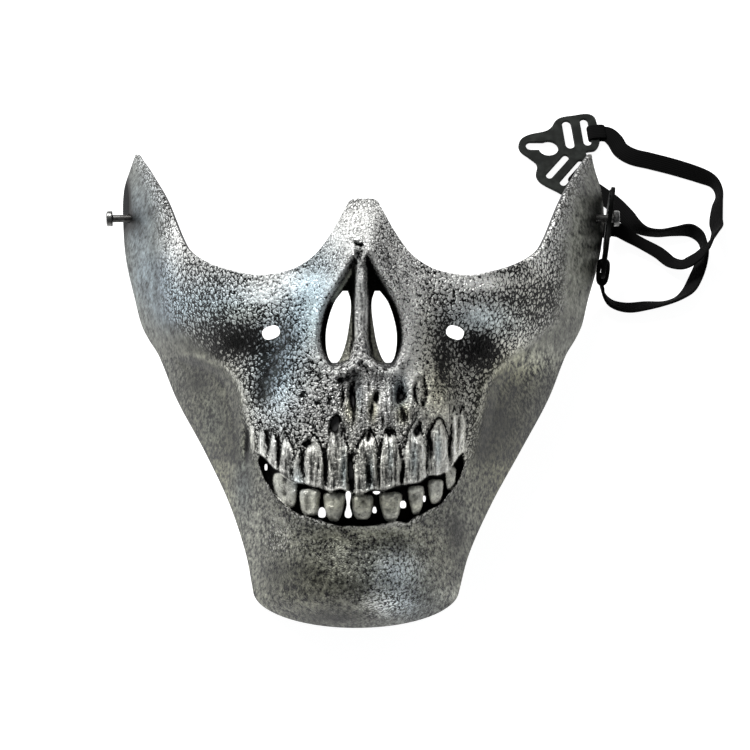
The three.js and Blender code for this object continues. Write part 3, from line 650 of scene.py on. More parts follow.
def upper_teeth(across, up):
    """Height of the upper teeth, and of their crowns alone: crowns that taper into pointed arches and sink
    into the bone there, a thin socket round each, bone between the roots, and gaps above the bite."""
    bite = lip(across, UPPER_LIP)
    crowns = np.zeros_like(across)
    sockets = np.zeros_like(across)
    for left, right, root, rise in zip(*UPPER_TEETH.values()):
        along = (up - bite) / (root - bite)
        half = (right - left) / 2 * (1 - CROWN["narrow"] * ramp(along, *CROWN_NARROWS))
        aside = np.abs(across - (left + right) / 2) / half
        inside = np.minimum((1 - aside) * half, CROWN["pace"] * (root - CROWN["arch"] * aside**2 - up))
        sunk = CROWN["sunk"] * ramp(along, *CROWN_SINKS)
        crown = CROWN["rise"] * rise * ramp(inside, CROWN["start"], CROWN["edge"]) * (1 - sunk)
        crowns = np.maximum(crowns, crown)
        socket = bell(inside, SOCKET["at"], SOCKET["half"]) * (SOCKET["least"] + sunk)
        sockets = np.maximum(sockets, socket)
    jaw = ramp(up - bite, -MOUTH["bite"], 0)
    jaw *= 1 - ramp(np.abs(across - MOUTH["middle"]) - MOUTH["half"], *ROW_ENDS)
    gaps = 1 - ramp(up - bite, *GAPS_FADE)
    return jaw * (crowns - SOCKET["depth"] * sockets - CROWN["gap"] * gaps), jaw * crowns


def streaked(across, up, crowns):
    """How much of the upright streaks of teeth and roots a spot has."""
    return np.maximum(ramp(crowns, 0.05, 0.5), np.clip(bowls(across, up, ROOT_STREAKS), 0, 1))


def bony_amount(across, up):
    """How uneven the bone is at a spot."""
    return np.clip(bowls(across, up, BONY), 0, 1)


def wobbled(across, up):
    """Spots shifted a little at random, so that teeth and roots aren't ruled with straight lines."""
    return across + lumps(across, up, "sway"), up + lumps(across, up, "lift")


def oval_ring(across, up):
    """1 along the oval ring, falling off with the square of the distance from it."""
    out = np.hypot((across - OVAL["across"]) / OVAL["half_across"], (up - OVAL["up"]) / OVAL["half_up"])
    return bell(out, 1, OVAL["line"])


def in_nose(aside, up):
    """How far a spot lies inside the nasal opening: from its sides, its top, and a floor of two lobes."""
    sides = by_level(NASAL_RIM, "half", up) - aside
    floor_level = NASAL_FLOOR["level"] + NASAL_FLOOR["bend"] * (aside - NASAL_FLOOR["lobe"]) ** 2
    return np.minimum(np.minimum(sides, up - floor_level), NASAL_RIM["up"].max() - up)


def septum_half(up):
    """Half width of the septum, which spreads into a foot at the bottom of the nasal opening."""
    return NASAL["septum_half"] + NASAL["foot"] * (1 - ramp(up, *SEPTUM_FOOT))


def relief(across, up):
    """Fine forms of the outer wall: nasal opening, septum, teeth, roots, pits, and the cheek's crest."""
    aside = np.abs(across - NOSE_MIDDLE)
    inside = in_nose(aside, up)
    septum = NASAL["septum_keep"] * np.exp(-((aside / septum_half(up)) ** 4))
    height = -NASAL["sink"] * ramp(inside, NASAL["start"], NASAL["slope"]) * (1 - septum)
    height += NASAL_LIP["rise"] * bell(inside, NASAL_LIP["at"], NASAL_LIP["half"])
    shifted = wobbled(across, up)
    pegs = lower_teeth(across, up)
    dented = pegs * PEG_DENTS["depth"] * (lumps(across, up, "peg_dents") - PEG_DENTS["lower"])
    height += in_mouth(*shifted) * (MOUTH["tooth_rise"] * pegs + dented - MOUTH["sink"])
    teeth, crowns = upper_teeth(*shifted)
    streaks = lumps(*shifted, "streaks") + lumps(*shifted, "fine_streaks")
    height += teeth + CROWN["streak"] * streaks * streaked(across, up, crowns)
    height -= bowls(*shifted, PITS, "depth") + OVAL["depth"] * oval_ring(*shifted)
    height += bony_amount(across, up) * (lumps(*shifted, "knobs") + lumps(*shifted, "nubs"))
    height += lines(*shifted, RIDGES)
    crest = bell(past_cheek(across, up), -JAW_STEP["crest_half"], JAW_STEP["crest_half"])
    crest *= (1 - ramp(up, *CREST_TOP)) * ramp(up, JAW_STEP["fade_to"], JAW_STEP["fade_from"])
    height += JAW_STEP["crest"] * crest
    return height + lumps(across, up, "small") + lumps(across, up, "large")


def outward(across, up):
    """Outward direction of the large forms, from the slopes of their surface."""
    step = 0.4
    at = lambda a, b: place(a, b, form(a, b))
    to_right = at(across + step, up) - at(across - step, up)
    to_top = at(across, up + step) - at(across, up - step)
    return unit(np.cross(to_right, to_top))


def room(box, across, up):
    """How much deeper the inner wall lies in a squared-off room."""
    return box["deeper"] * np.exp(-((across / box["half_across"]) ** 6) - (up / box["half_up"]) ** 4)


def inner_wall(across, up):
    """The inner wall: the large forms one wall thickness in, deeper behind the nose and the mouth."""
    points = place(across, up, form(across, up)) - WALL * outward(across, up)
    mouth_level = (lip(across, UPPER_LIP) + lip(across, LOWER_LIP)) / 2
    points[..., 2] -= room(ROOM_BEHIND_NOSE, across - NOSE_MIDDLE, up - ROOM_BEHIND_NOSE["up"])
    points[..., 2] -= room(ROOM_BEHIND_MOUTH, across - MOUTH["middle"], up - mouth_level)
    return points


# Grid of the shell in front view
def even_pace(points, steps):
    """Points at an even pace along a dense line of points."""
    gone = way(points)
    return between(steps * gone[-1], gone, points)


def shell_spots(u, v):
    """Spots of the front view blended between the four edges; u runs across and v down."""
    fine = np.linspace(0, 1, 3000)
    rim = np.r_[-TOP_RIM["across"][:0:-1], TOP_RIM["across"]]
    rise = np.r_[TOP_RIM["up"][:0:-1], TOP_RIM["up"]]
    a = rim[0] + fine * (rim[-1] - rim[0])
    top = even_pace(np.stack([a, through(rim, rise, a)], -1), u)
    b = SIDE_EDGES["up"][0] + fine * (CHIN["level"] - SIDE_EDGES["up"][0])
    left, right, _ = outline(b)
    left = even_pace(np.stack([left, b], -1), v)
    right = even_pace(np.stack([right, b], -1), v)
    turn = math.pi * fine
    low = CHIN["level"] - CHIN["drop"] * np.sin(turn)
    chin = even_pace(np.stack([CHIN_MIDDLE - CHIN_HALF * np.cos(turn), low], -1), u)
    pull = ((1 - v) ** ROW_PULL)[:, None, None]
    u = u[None, :, None]
    rows = pull * top + (1 - pull) * chin
    sides = (1 - u) * left[:, None] + u * right[:, None]
    corners = pull * ((1 - u) * top[0] + u * top[-1]) + (1 - pull) * ((1 - u) * chin[0] + u * chin[-1])
    return np.moveaxis(rows + sides - corners, -1, 0)


def row_positions():
    """Positions of the rows from the top rim to the chin, closest where the teeth are."""
    stops = np.r_[0, ROW_BANDS["to"]]
    bands = [
        np.linspace(low, high, int(rows), endpoint=False)
        for low, high, rows in zip(stops, stops[1:], ROW_BANDS["rows"])
    ]
    return np.r_[np.concatenate(bands), 1]


# Meshes
def new_mesh(name, points, faces, finishes):
    """A mesh from points in metres, with its finishes."""
    mesh = bpy.data.meshes.new(name)
    mesh.from_pydata(points, [], faces)
    for finish in finishes:
        mesh.materials.append(finish)
    mesh.update()
    return mesh


def linked(name, data):
    """A new object in the scene."""
    made = bpy.data.objects.new(name, data)
    bpy.context.collection.objects.link(made)
    return made


def evaluated(made):
    """A new mesh of an object as its modifiers or its curve leave it."""
    graph = bpy.context.evaluated_depsgraph_get()
    return bpy.data.meshes.new_from_object(made.evaluated_get(graph), depsgraph=graph)


def new_piece(name, points, faces, finishes, node):
    """A piece of the object from points in millimetres, standing for a solid and riding with the mask."""
    piece = linked(name, new_mesh(name, np.asarray(points) * MM, faces, finishes))
    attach(piece, "root")
    if node:
        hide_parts(node)
    return piece


def smooth(mesh, angle):
    """Smooth shading, with creases where faces meet at more than an angle."""
    mesh.polygons.foreach_set("use_smooth", np.ones(len(mesh.polygons), bool))
    mesh.set_sharp_from_angle(angle=math.radians(angle))


def grid_quads(rows, columns, start=0, flip=False):
    """Quads of a grid of points stored row by row."""
    corner = (np.arange(rows - 1)[:, None] * columns + np.arange(columns - 1)).ravel() + start
    quads = np.stack([corner, corner + columns, corner + columns + 1, corner + 1], -1)
    return quads[:, ::-1] if flip else quads


def border_walk(rows, columns):
    """Places on a grid's border, once round: along the top, down the right, back, and up the left."""
    across = np.arange(columns - 1)
    down = np.arange(rows - 1)
    j = np.r_[0 * across, down, 0 * across + rows - 1, rows - 1 - down]
    i = np.r_[across, 0 * down + columns - 1, columns - 1 - across, 0 * down]
    return j, i


def shell_mesh():
    """The thick shell before its holes are cut: outer grid, coarser inner grid, and a rounded rim whose
    middle line bulges a little past both."""
    v = row_positions()
    across, up = shell_spots(np.linspace(0, 1, COLUMNS + 1), v)
    outer = place(across, up, form(across, up) + relief(across, up))
    inner = inner_wall(across[::INNER_PACE, ::INNER_PACE], up[::INNER_PACE, ::INNER_PACE])
    rows, columns = across.shape
    j, i = border_walk(rows, columns)
    inner_rows, inner_columns = inner.shape[:2]
    inner_j, inner_i = border_walk(inner_rows, inner_columns)
    inside_edge = inner[inner_j, inner_i]
    walk = np.arange(len(j)) / INNER_PACE
    ahead = np.r_[inside_edge, inside_edge[:1]]
    edge = outer[j, i]
    beside = between(walk, np.arange(len(ahead)), ahead)
    away = unit(np.cross(edge - beside, np.roll(edge, -1, 0) - np.roll(edge, 1, 0)))
    middle = (edge + beside) / 2 + RIM_BULGE * away
    points = np.concatenate([outer.reshape(-1, 3), inner.reshape(-1, 3), middle])
    inner_start = rows * columns
    middle_start = inner_start + inner_rows * inner_columns
    o = j * columns + i
    m = middle_start + np.arange(len(j))
    n = inner_start + inner_j * inner_columns + inner_i
    o_next = np.roll(o, -1)
    m_next = np.roll(m, -1)
    n_next = np.roll(n, -1)
    walls = np.concatenate([grid_quads(rows, columns), np.stack([o, o_next, m_next, m], -1)])
    backs = grid_quads(inner_rows, inner_columns, inner_start, flip=True)
    fans = [(m[k::INNER_PACE], m_next[k::INNER_PACE], n_next if k else n) for k in range(INNER_PACE)]
    fans.append((m_next[::INNER_PACE], n_next, n))
    return points, walls, backs, np.concatenate([np.stack(corners, -1) for corners in fans])


def drum(first, last):
    """A closed solid between two loops of points, the first of them anticlockwise seen from outside."""
    count = len(first)
    here = np.arange(count)
    ahead = np.roll(here, -1)
    walls = np.stack([here, here + count, ahead + count, ahead], -1).tolist()
    return np.concatenate([first, last]), [*walls, here.tolist(), (here[::-1] + count).tolist()]


def prism(spots):
    """A prism along the lines of sight over an outline of the front view that runs anticlockwise."""
    across, up = spots.T
    return drum(*(place(across, up, np.full(len(up), SIGHT_CUT[end])) for end in ("near", "far")))


def round_hole(across, up, wide, high, turn=0.0, waist=0.0, flare=0.0, count=40):
    """Outline of a hole: an ellipse with squared ends, drawn in at its waist, wider below by its flare, and
    turned."""
    angle = circle(count)
    a = wide / 2 * squared(np.cos(angle), HOLE_SQUARE)
    b = high / 2 * squared(np.sin(angle), HOLE_SQUARE)
    level = 2 * b / high
    a *= (1 - waist * (1 - level**2) ** 2) * (1 - flare * level)
    c = math.cos(turn)
    s = math.sin(turn)
    return np.stack([across + a * c - b * s, up + a * s + b * c], -1)


def nostril_hole(side):
    """Outline of a nostril: smooth curves down its outer side and back up its inner side."""
    levels = np.linspace(NOSTRIL["up"][0], NOSTRIL["up"][-1], 40)
    outer = by_level(NOSTRIL, "outer", levels)
    inner = by_level(NOSTRIL, "inner", levels)
    spots = np.stack([NOSE_MIDDLE + side * np.r_[outer, inner[::-1]], np.r_[levels, levels[::-1]]], -1)
    return spots if side < 0 else spots[::-1]


def ring_about(axis, count):
    """A circle of radius 1 square to an axis."""
    side = unit(np.cross(axis, (0, 0, 1.0)))
    turn = circle(count)
    return np.cos(turn)[:, None] * side + np.sin(turn)[:, None] * np.cross(axis, side)


def drill(pos, axis):
    """A round bar through the ear where a stud sits."""
    ring = pos + BORE["radius"] * ring_about(axis, BORE["count"])
    return drum(ring + BORE["reach"] * axis, ring - BORE["reach"] * axis)


def joined(parts):
    """Several closed meshes as one list of points and faces."""
    points = []
    faces = []
    for part_points, part_faces in parts:
        start = sum(map(len, points))
        points.append(part_points)
        faces += [[start + k for k in face] for face in part_faces]
    return np.concatenate(points), faces


def stud_place(side):
    """Where a stud leaves the ear's outer face, and its axis, from the mount on its head."""
    name = "stud_face_left" if side < 0 else "stud_face_right"
    mount = next(row for row in frame["record"]["mounts"] if row["name"] == name)
    axis = np.array(mount["axis"])
    return np.array(mount["pos_m"]) / MM - axis * (STUD["reach"] + STUD["head_thick"]), axis


# Shader maths
class Value:
    """A shader socket that takes part in Python arithmetic: each operator adds one Math node."""

    def __init__(self, finish, socket):
        self.finish = finish
        self.socket = socket

    def math(self, operation, *values):
        return self.finish.node("ShaderNodeMath", {"operation": operation}, dict(enumerate(values)))

    def __add__(self, other):
        return self.math("ADD", self, other)

    def __sub__(self, other):
        return self.math("SUBTRACT", self, other)

    def __rsub__(self, other):
        return self.math("SUBTRACT", other, self)

    def __mul__(self, other):
        return self.math("MULTIPLY", self, other)

    __radd__ = __add__
    __rmul__ = __mul__


def socket_name(word):
    """A shader socket's own name from a keyword."""
    return word.replace("_", " ").title().replace("Ior", "IOR")


class Finish:
    """A material being put together: constants go on the shader's sockets, and what varies is linked."""

    def __init__(self, name, **constants):
        self.material = bpy.data.materials.new(name)
        self.material.use_nodes = True
        self.tree = self.material.node_tree
        self.shader = self.tree.nodes["Principled BSDF"]
        for socket, value in constants.items():
            self.shader.inputs[socket_name(socket)].default_value = value

    def node(self, kind, settings=None, sockets=None, output=0):
        """Any node: its settings first, then the values or links of its sockets."""
        made = self.tree.nodes.new(kind)
        for name, value in (settings or {}).items():
            setattr(made, name, value)
        for name, value in (sockets or {}).items():
            if isinstance(value, Value):
                self.tree.links.new(value.socket, made.inputs[name])
            else:
                made.inputs[name].default_value = value
        return Value(self, made.outputs[output])

    def attribute(self, name, output="Fac"):
        return self.node("ShaderNodeAttribute", {"attribute_name": name}, output=output)

    def coordinates(self):
        return self.node("ShaderNodeTexCoord", output="Object")

    def noise(self, place, scale, detail=2.0, roughness=0.5, output=0):
        sockets = {"Vector": place, "Scale": scale, "Detail": detail, "Roughness": roughness}
        return self.node("ShaderNodeTexNoise", {}, sockets, output)

    def step(self, value, low, high, start=0.0, end=1.0):
        """A smooth step of a value from one number to another."""
        sockets = {"Value": value, "From Min": low, "From Max": high, "To Min": start, "To Max": end}
        return self.node("ShaderNodeMapRange", {"interpolation_type": "SMOOTHSTEP"}, sockets)

    def mix(self, factor, first, second, blend="MIX"):
        """A mix of two colours."""
        settings = {"data_type": "RGBA", "blend_type": blend}
        return self.node("ShaderNodeMix", settings, {0: factor, 6: first, 7: second}, output=2)

    def grey(self, value):
        """A grey colour of a value's brightness."""
        return self.node("ShaderNodeCombineColor", {}, {0: value, 1: value, 2: value})

    def move(self, operation, *vectors, output=0):
        return self.node("ShaderNodeVectorMath", {"operation": operation}, dict(enumerate(vectors)), output)

    def bump(self, height, strength, distance):
        """A bump from a height in metres."""
        sockets = {"Height": height, "Strength": strength, "Distance": distance}
        return self.node("ShaderNodeBump", {}, sockets)

    def link(self, **values):
        for socket, value in values.items():
            self.tree.links.new(value.socket, self.shader.inputs[socket_name(socket)])
        return self.material


BLACK_WASH = (0.006, 0.006, 0.006, 1)
BRIGHT_SILVER = (0.93, 0.93, 0.9, 1)
DULL_SILVER = (0.138, 0.141, 0.121, 1)
COOL_SILVER = (0.72, 0.88, 1.0, 1)
COOL_DULL = (0.76, 0.9, 1.14, 1)
WARM_SILVER = (0.97, 0.94, 0.74, 1)
WHITE = (1, 1, 1, 1)
INSIDE_DARK = (0.018, 0.018, 0.018, 1)
INSIDE_PALE = (0.04, 0.04, 0.039, 1)
STUD_DARK = (0.10, 0.10, 0.097, 1)
STUD_WORN = (0.34, 0.34, 0.33, 1)
SHANK_BLACK = (0.02, 0.019, 0.017, 1)
PLATE_DARK = (0.011, 0.012, 0.011, 1)
PLATE_PALE = (0.02, 0.022, 0.02, 1)
PLATE_SHADED = (0.001, 0.001, 0.001, 1)
BRAID_DARK = (0.0012, 0.0012, 0.0012, 1)
BRAID_PALE = (0.005, 0.0049, 0.0049, 1)


def painted_finish():
    """Silver paint over black: crackled flecks left by a dry brush, smooth dull silver on the plates and
    ears, and streaks on the teeth. How much silver hides the black, from 0 to 1, comes in one attribute
    that also carries painted highlights and painted shade."""
    f = Finish("silver_washed_paint", specular_ior_level=0.3)
    spot = f.coordinates()
    cover_and_light = f.attribute("cover_and_light")
    pebble = f.attribute("pebble")
    grain = f.attribute("grain")
    streaky = f.attribute("streaky")
    fine = f.noise(spot, 1400, 2, 0.6)
    broad = f.noise(spot, 170, 3, 0.55)
    shift = f.move("SUBTRACT", f.noise(spot, 700, 2, 0.6, output=1), (0.5, 0.5, 0.5))
    warped = f.move("MULTIPLY_ADD", shift, (0.0022, 0.0022, 0.0022), spot)
    cells = lambda scale: f.node(
        "ShaderNodeTexVoronoi", {"feature": "DISTANCE_TO_EDGE"}, {"Vector": warped, "Scale": scale}
    )
    wide_cells = cells(530.0)
    crackle = wide_cells + f.attribute("fineness") * (cells(780.0) - wide_cells)
    crackle = crackle + 0.5 * (f.noise(spot, 1000, 2, 0.6) - 0.5)
    rough_noise = f.noise(spot, 800, 2, 0.6)
    front = f.attribute("front", "Vector")
    stretched = f.move("MULTIPLY", front, (0.8, 0.1, 0.0))
    streak = 1.3 * (f.noise(stretched, 1.0, 3, 0.65) - 0.46) + 0.5 * (rough_noise - 0.5)
    pattern = crackle + streaky * (streak - crackle)
    silver = pattern + 0.34 * (cover_and_light.math("MINIMUM", cover_and_light, 0.74) - 0.5)
    silver = silver + 0.1 * (broad - 0.5) - 0.2 * (grain - 0.5)
    silver = f.step(silver, 0.03 - 0.24 * streaky, 0.15 + 0.09 * streaky)
    patchy = f.noise(spot, 420, 2, 0.5)
    strands = f.noise(f.move("MULTIPLY", front, (0.5, 0.045, 0.0)), 1.0, 2, 0.6)
    level = 0.06 + 1.05 * cover_and_light.math("MAXIMUM", cover_and_light, 0.16) + 1.2 * (fine - 0.5)
    stranded = streaky * (2.4 * (strands - 0.5) + 0.9 * (rough_noise - 0.5))
    level = level + cover_and_light * (0.9 * (patchy - 0.5) + stranded)
    flecks = f.mix(silver, BLACK_WASH, f.mix(1.0, BRIGHT_SILVER, f.grey(level), "MULTIPLY"))
    drawn_out = f.move("MULTIPLY", spot, (1.0, 1.0, 0.35))
    speckle = 4.0 * (fine - 0.5) + 14.0 * (f.noise(drawn_out, 800, 2, 0.65) - 0.5)
    mottle = cover_and_light * (2.0 + grain * speckle + 6.0 * (broad - 0.5) + 3.0 * (patchy - 0.5))
    dull = f.mix(1.0, DULL_SILVER, f.grey(mottle), "MULTIPLY")
    base = f.mix(pebble, dull, flecks)
    # Black where little silver is left: the black wash, and the painted shade of the recesses and of the left
    # ear's edge
    dark = f.step(cover_and_light + 0.3 * (fine - 0.5), -0.45, -0.05, 1.0, 0.0)
    base = f.mix(dark, base, BLACK_WASH)
    cool_paint = f.mix(pebble, COOL_DULL, COOL_SILVER)
    base = f.mix(1.0, base, f.mix(f.attribute("cool"), WHITE, cool_paint), "MULTIPLY")
    base = f.mix(1.0, base, f.mix(f.attribute("warm"), WHITE, WARM_SILVER), "MULTIPLY")
    rough = 0.5 - 0.14 * silver * pebble + 0.2 * dark
    bare = pebble * (1 - silver)
    metal = 0.45 + 0.5 * (bare + dark - bare * dark)
    rise = f.step(pattern, -0.05, 0.3) * pebble * 0.0006 + fine * grain * 0.00012
    return f.link(base_color=base, roughness=rough, metallic=metal, normal=f.bump(rise, 1.0, 1.0))


def bare_plastic():
    """Bare black plastic of the shell's inside, faintly mottled."""
    f = Finish("bare_black_plastic", roughness=0.55)
    cloud = f.noise(f.coordinates(), 90, 4, 0.6)
    base = f.mix(cloud, INSIDE_DARK, INSIDE_PALE)
    grain = f.noise(f.coordinates(), 2200, 2)
    return f.link(base_color=base, roughness=0.46 + 0.2 * cloud, normal=f.bump(grain * 0.00005, 1.0, 1.0))


def stud_finish():
    """Plated metal worn bright in spots on the head, black on the shank."""
    f = Finish("dark_stud_metal", metallic=0.85)
    cloud = f.noise(f.coordinates(), 700, 3, 0.6)
    worn = f.step(cloud, 0.45, 0.7)
    base = f.mix(worn, STUD_DARK, STUD_WORN)
    base = f.mix(f.attribute("shine"), SHANK_BLACK, base)
    return f.link(base_color=base, roughness=0.34 - 0.12 * worn)


def plate_finish():
    """Black moulded plastic with a fine grain and faint worn patches, and painted shade over a whole plate,
    by a value on its points.
    """
    f = Finish("black_plate_plastic", specular_ior_level=0.05)
    cloud = f.noise(f.coordinates(), 260, 4, 0.6)
    base = f.mix(f.step(cloud, 0.4, 0.7), PLATE_DARK, PLATE_PALE)
    base = f.mix(f.attribute("plate_light"), PLATE_SHADED, base)
    grain = f.noise(f.coordinates(), 2600, 2)
    return f.link(base_color=base, roughness=0.38 + 0.3 * cloud, normal=f.bump(grain * 0.00004, 1.0, 1.0))


def elastic_finish():
    """Black braided elastic: ribs along the band crossed by finer rows of weave."""
    f = Finish("black_elastic_braid", roughness=0.9, specular_ior_level=0.05)

    def wave(direction, pitch):
        at = f.node("ShaderNodeSeparateXYZ", {}, {0: f.attribute("weave", "Vector")}, direction)
        return at.math("SINE", at * (2 * math.pi / pitch))

    ribs = wave(0, 0.8)
    weave = 0.5 + 0.3 * ribs + 0.2 * ribs * wave(1, 0.55)
    base = f.mix(weave, BRAID_DARK, BRAID_PALE)
    return f.link(base_color=base, normal=f.bump(weave * 0.00012, 1.0, 1.0))


# Places of the paint, in front view
PEBBLE_EDGE = table("up across", [
    (88, 92.5),
    (76, 86),
    (60, 81.5),
    (42, 80),
    (24, 78),
    (14, 68),
    (8, 60),
    (2, 54),
    (-6, 49.5),
    (-20, 47),
    (-40, 42),
    (-60, 40),
])
COOL_SPOTS = table(SPOT, [
    (-18, 36, 0.7, 11, 20),
    (-35, 3, 1.1, 10, 22),
    (-24, 22, 0.7, 9, 18),
    (-90, 62, 1.0, 9, 20),
    (-84, 38, 1.0, 10, 12),
    (-78, 24, 0.6, 8, 9),
    (-62, 28, 0.9, 22, 12),
    (48, 22, 0.6, 16, 8),
    (14, -80, 0.55, 14, 12),
    (20, -94, 0.5, 12, 8),
    (-60, -20, 0.5, 6, 12),
    (-48, -44, 0.7, 4, 12),
    (-26, -42, 0.5, 3, 5),
    (-7.6, -38, 0.7, 1.3, 7),
    (3, -40, 0.7, 1.2, 7),
    (11, -34, 0.5, 1.3, 6),
    (20.5, -34, 0.6, 1.6, 7),
    (30, -30, 0.6, 1.4, 7),
    (-2, -9, 0.4, 2, 7),
    (14.8, -7, 0.9, 3, 6),
])
WARM_SPOTS = table(SPOT, [
    (-5, -14, 0.9, 3, 6),
    (4, -14, 1, 2, 6),
    (16, -15, 1, 3, 5),
    (30, -6, 0.8, 9, 16),
    (62, 0, 0.5, 16, 10),
    (0, -52, 0.4, 40, 5),
    (70, 30, 0.3, 14, 16),
    (-72, 12, 0.3, 10, 6),
    (-50, 24, 0.3, 12, 5),
    (-20, 18, 0.2, 4, 16),
    (26, 18, 0.25, 5, 14),
    (0, -36, 0.3, 44, 14),
    (0, -64, 0.4, 30, 5),
    (-60, -30, 0.95, 14, 40),
    (56, -30, 1.1, 14, 40),
    (-24, -84, 0.6, 24, 18),
    (30, -74, 0.4, 12, 16),
])
# The smooth hollow of the left cheek
SMOOTH_SPOTS = table(SPOT, [
    (-32, 15, 0.6, 4, 6),
    (-35, 5, 0.7, 4, 7),
    (-39, -6, 0.7, 3.5, 6),
])
# Where the chin is crackled like the cheeks
CHIN_PATCHES = table(SPOT, [
    (10, -91, 1, 10, 6),
    (16, -77, 0.7, 9, 7),
    (-36, -66, 0.6, 6, 6),
])
# Lighter and darker places of the silver: partly the paint's own tone, partly painted highlights and painted
# shade
PAINT_AND_LIGHT_SPOTS = table(SPOT, [
    # Nose
    # Painted highlight on the top and left of the nose bridge
    (-6, 58, 0.42, 9, 12),
    (1, 61, 0.25, 3, 12),
    (4, 66, 0.2, 6, 6),
    (-9, 60, -0.1, 3, 7),
    (-14, 46, 0.12, 7, 12),
    (18, 52, 0.1, 6, 10),
    (15, 42, 0.14, 3.5, 8),
    (20, 30, 0.25, 3.5, 9),
    (-19, 26, 0.3, 5, 12),
    (20, 8, 0.22, 4, 12),
    (-10, 5, -0.3, 3, 3),
    (9, 4, -0.3, 3, 3),
    # Left cheek
    # Painted highlight along the top rim
    (-28, 37, 0.48, 16, 5),
    (-42, 31, 0.35, 10, 4),
    (-76, 48, 0.2, 5, 7),
    (-74, 58, 0.4, 3, 6),
    (-64, 14, -0.22, 14, 13),
    (-30, 12, -0.1, 4, 8),
    (-33, -10, 0.15, 4, 7),
    (-22, -6, 0.1, 9, 8),
    # Painted shade in the hollow beside the left cheek hole
    (-49, 13, -0.75, 11, 6),
    (-39, 8, 0.15, 2.6, 5),
    (-38, 4, -0.4, 4.5, 7),
    (-41, -7, -0.4, 3.5, 6),
    # Right cheek
    (34, 40, 0.2, 8, 3),
    (50, 37, 0.5, 14, 4),
    (70, 47, 0.6, 6, 9),
    (76, 60, 0.5, 4, 9),
    (52, 23, 0.5, 9, 5),
    (44, 25, 0.2, 6, 4),
    (66, 20, 0.12, 8, 8),
    (68, 6, 0.66, 11, 7),
    (58, 14, 0.25, 9, 5),
    # Painted shade in the hollow beside the right cheek hole
    (46, 10, -0.75, 8, 7),
    (32, 6, -0.45, 3.6, 15),
    (37, -7, -0.2, 4, 6),
    # Bone and teeth
    (12, -9, 0.12, 14, 7),
    (20, -1, 0.3, 6, 4),
    (23.3, -7, -0.15, 2.4, 4),
    (16, -15, -0.14, 12, 4),
    (30, -10, 0.22, 9, 11),
    (-9.8, -23, -0.8, 2.3, 3.6),
    (22, -34, 0.14, 7, 8),
    (31, -33, 0.28, 8, 9),
    (38, -28, 0.25, 4, 9),
    (-44, -16, 0.15, 4, 6),
    (-38, -28, -0.15, 4, 5),
    (-31, -44, -0.45, 5, 6),
    # Ears and jaw plates
    (86, 50, 0.5, 8, 22),
    (81, 48, -0.22, 3.5, 9),
    # Painted shade beside the right stud
    (93, 62, -0.4, 3.5, 9),
    (-87, 40, 0.24, 6, 14),
    # Painted shade beside the left stud; then the ear's dark back edge, its bare black edge with the stud's
    # shadow painted on
    (-91, 61, -0.35, 4, 5),
    (-96.5, 69, -2.2, 3, 11),
    (-84, 0, 0.08, 10, 8),
    # Painted shadow under the cheekbone's crest
    (-66, -4, -0.16, 6, 4),
    (-52, -30, -0.12, 5, 24),
    (-47.5, -28, 0.35, 1.6, 9),
    (-46, -40, -0.28, 4, 8),
    (48, -26, -0.14, 5, 22),
    (56, -19, -0.16, 6, 12),
    # Chin
    # Painted highlight along the rim under the mouth
    (3, -63, 0.55, 13, 3),
    (17, -61, 0.35, 8, 3),
    (10, -92, 0.62, 10, 5),
    (16, -78, 0.45, 12, 10),
    (6, -84, 0.3, 4, 6),
    (-31, -66, 0.16, 5, 7),
    (35, -87, 0.45, 5, 4),
    (26, -66, 0.16, 8, 4),
    (37, -63, -0.35, 4, 10),
    (-24, -80, -0.22, 16, 9),
    (-36, -79, -0.15, 8, 8),
    (-12, -97, -0.35, 16, 4),
])
# The silver of plain places, and what each kind of place adds to it. The cheekbone's crest gets a
# painted highlight, the recesses of nose and mouth black wash with painted shade, and the walls inside
# the nasal opening painted light.
PLAIN_COVER = 0.43
TONE = dict(
    tooth=0.07,
    ridge=0.24,
    hollow=-0.8,
    crest=0.24,
    jaw=-0.2,
    chin=0.01,
    recess_wash_and_shade=-1.0,
    crown_edge=0.22,
    crown=-0.06,
    peg=0.56,
    peg_rim=0.42,
    nasal_wall_light=0.46,
    nasal_lip=0.12,
    bite=0.3,
)
PAINT_RANGE = (-0.5, 1.2)
# Black in the nasal opening, black wash with painted shade: the painted shade above the nostrils, and how far
# in from the rim and septum it starts
ABOVE_NOSTRILS = (26, 31)
NOSE_SHADE = dict(left=3.2, right=1.4, run=1.4)
INSIDE_RIM = (1.4, 2.4)
PAST_SEPTUM = (-0.5, 0.3)
# Rings round a spot whose mean height tells how hollow it is, and their shares
HOLLOW_RINGS = table("reach share", [(0.8, 0.4), (1.6, 0.35), (3.4, 0.25)])


def nasal_places(across, up):
    """How far spots lie in the nasal opening, which of it is black with wash and painted shade (the triangles
    above the nostrils, the bands on their outer sides, and a line along each side of the septum), and how
    near its rim they are."""
    aside = np.abs(across - NOSE_MIDDLE)
    inside = in_nose(aside, up)
    beside = aside - septum_half(up)
    past_septum = ramp(beside, *PAST_SEPTUM)
    above = ramp(up, *ABOVE_NOSTRILS)
    deep = ramp(inside, *INSIDE_RIM)
    in_shade = np.where(across > NOSE_MIDDLE, NOSE_SHADE["right"], NOSE_SHADE["left"])
    black = above * ramp(inside, in_shade, in_shade + NOSE_SHADE["run"])
    black += (1 - above) * ramp(aside - by_level(NOSTRIL, "outer", up), -0.9, 0.1) * deep
    black += bell(beside, 0.4, 0.45) * deep * ramp(up, 5, 12)
    return ramp(inside, 1, 2.8) * past_septum, np.clip(black, 0, 1) * past_septum, bell(inside, -1.4, 1.8)


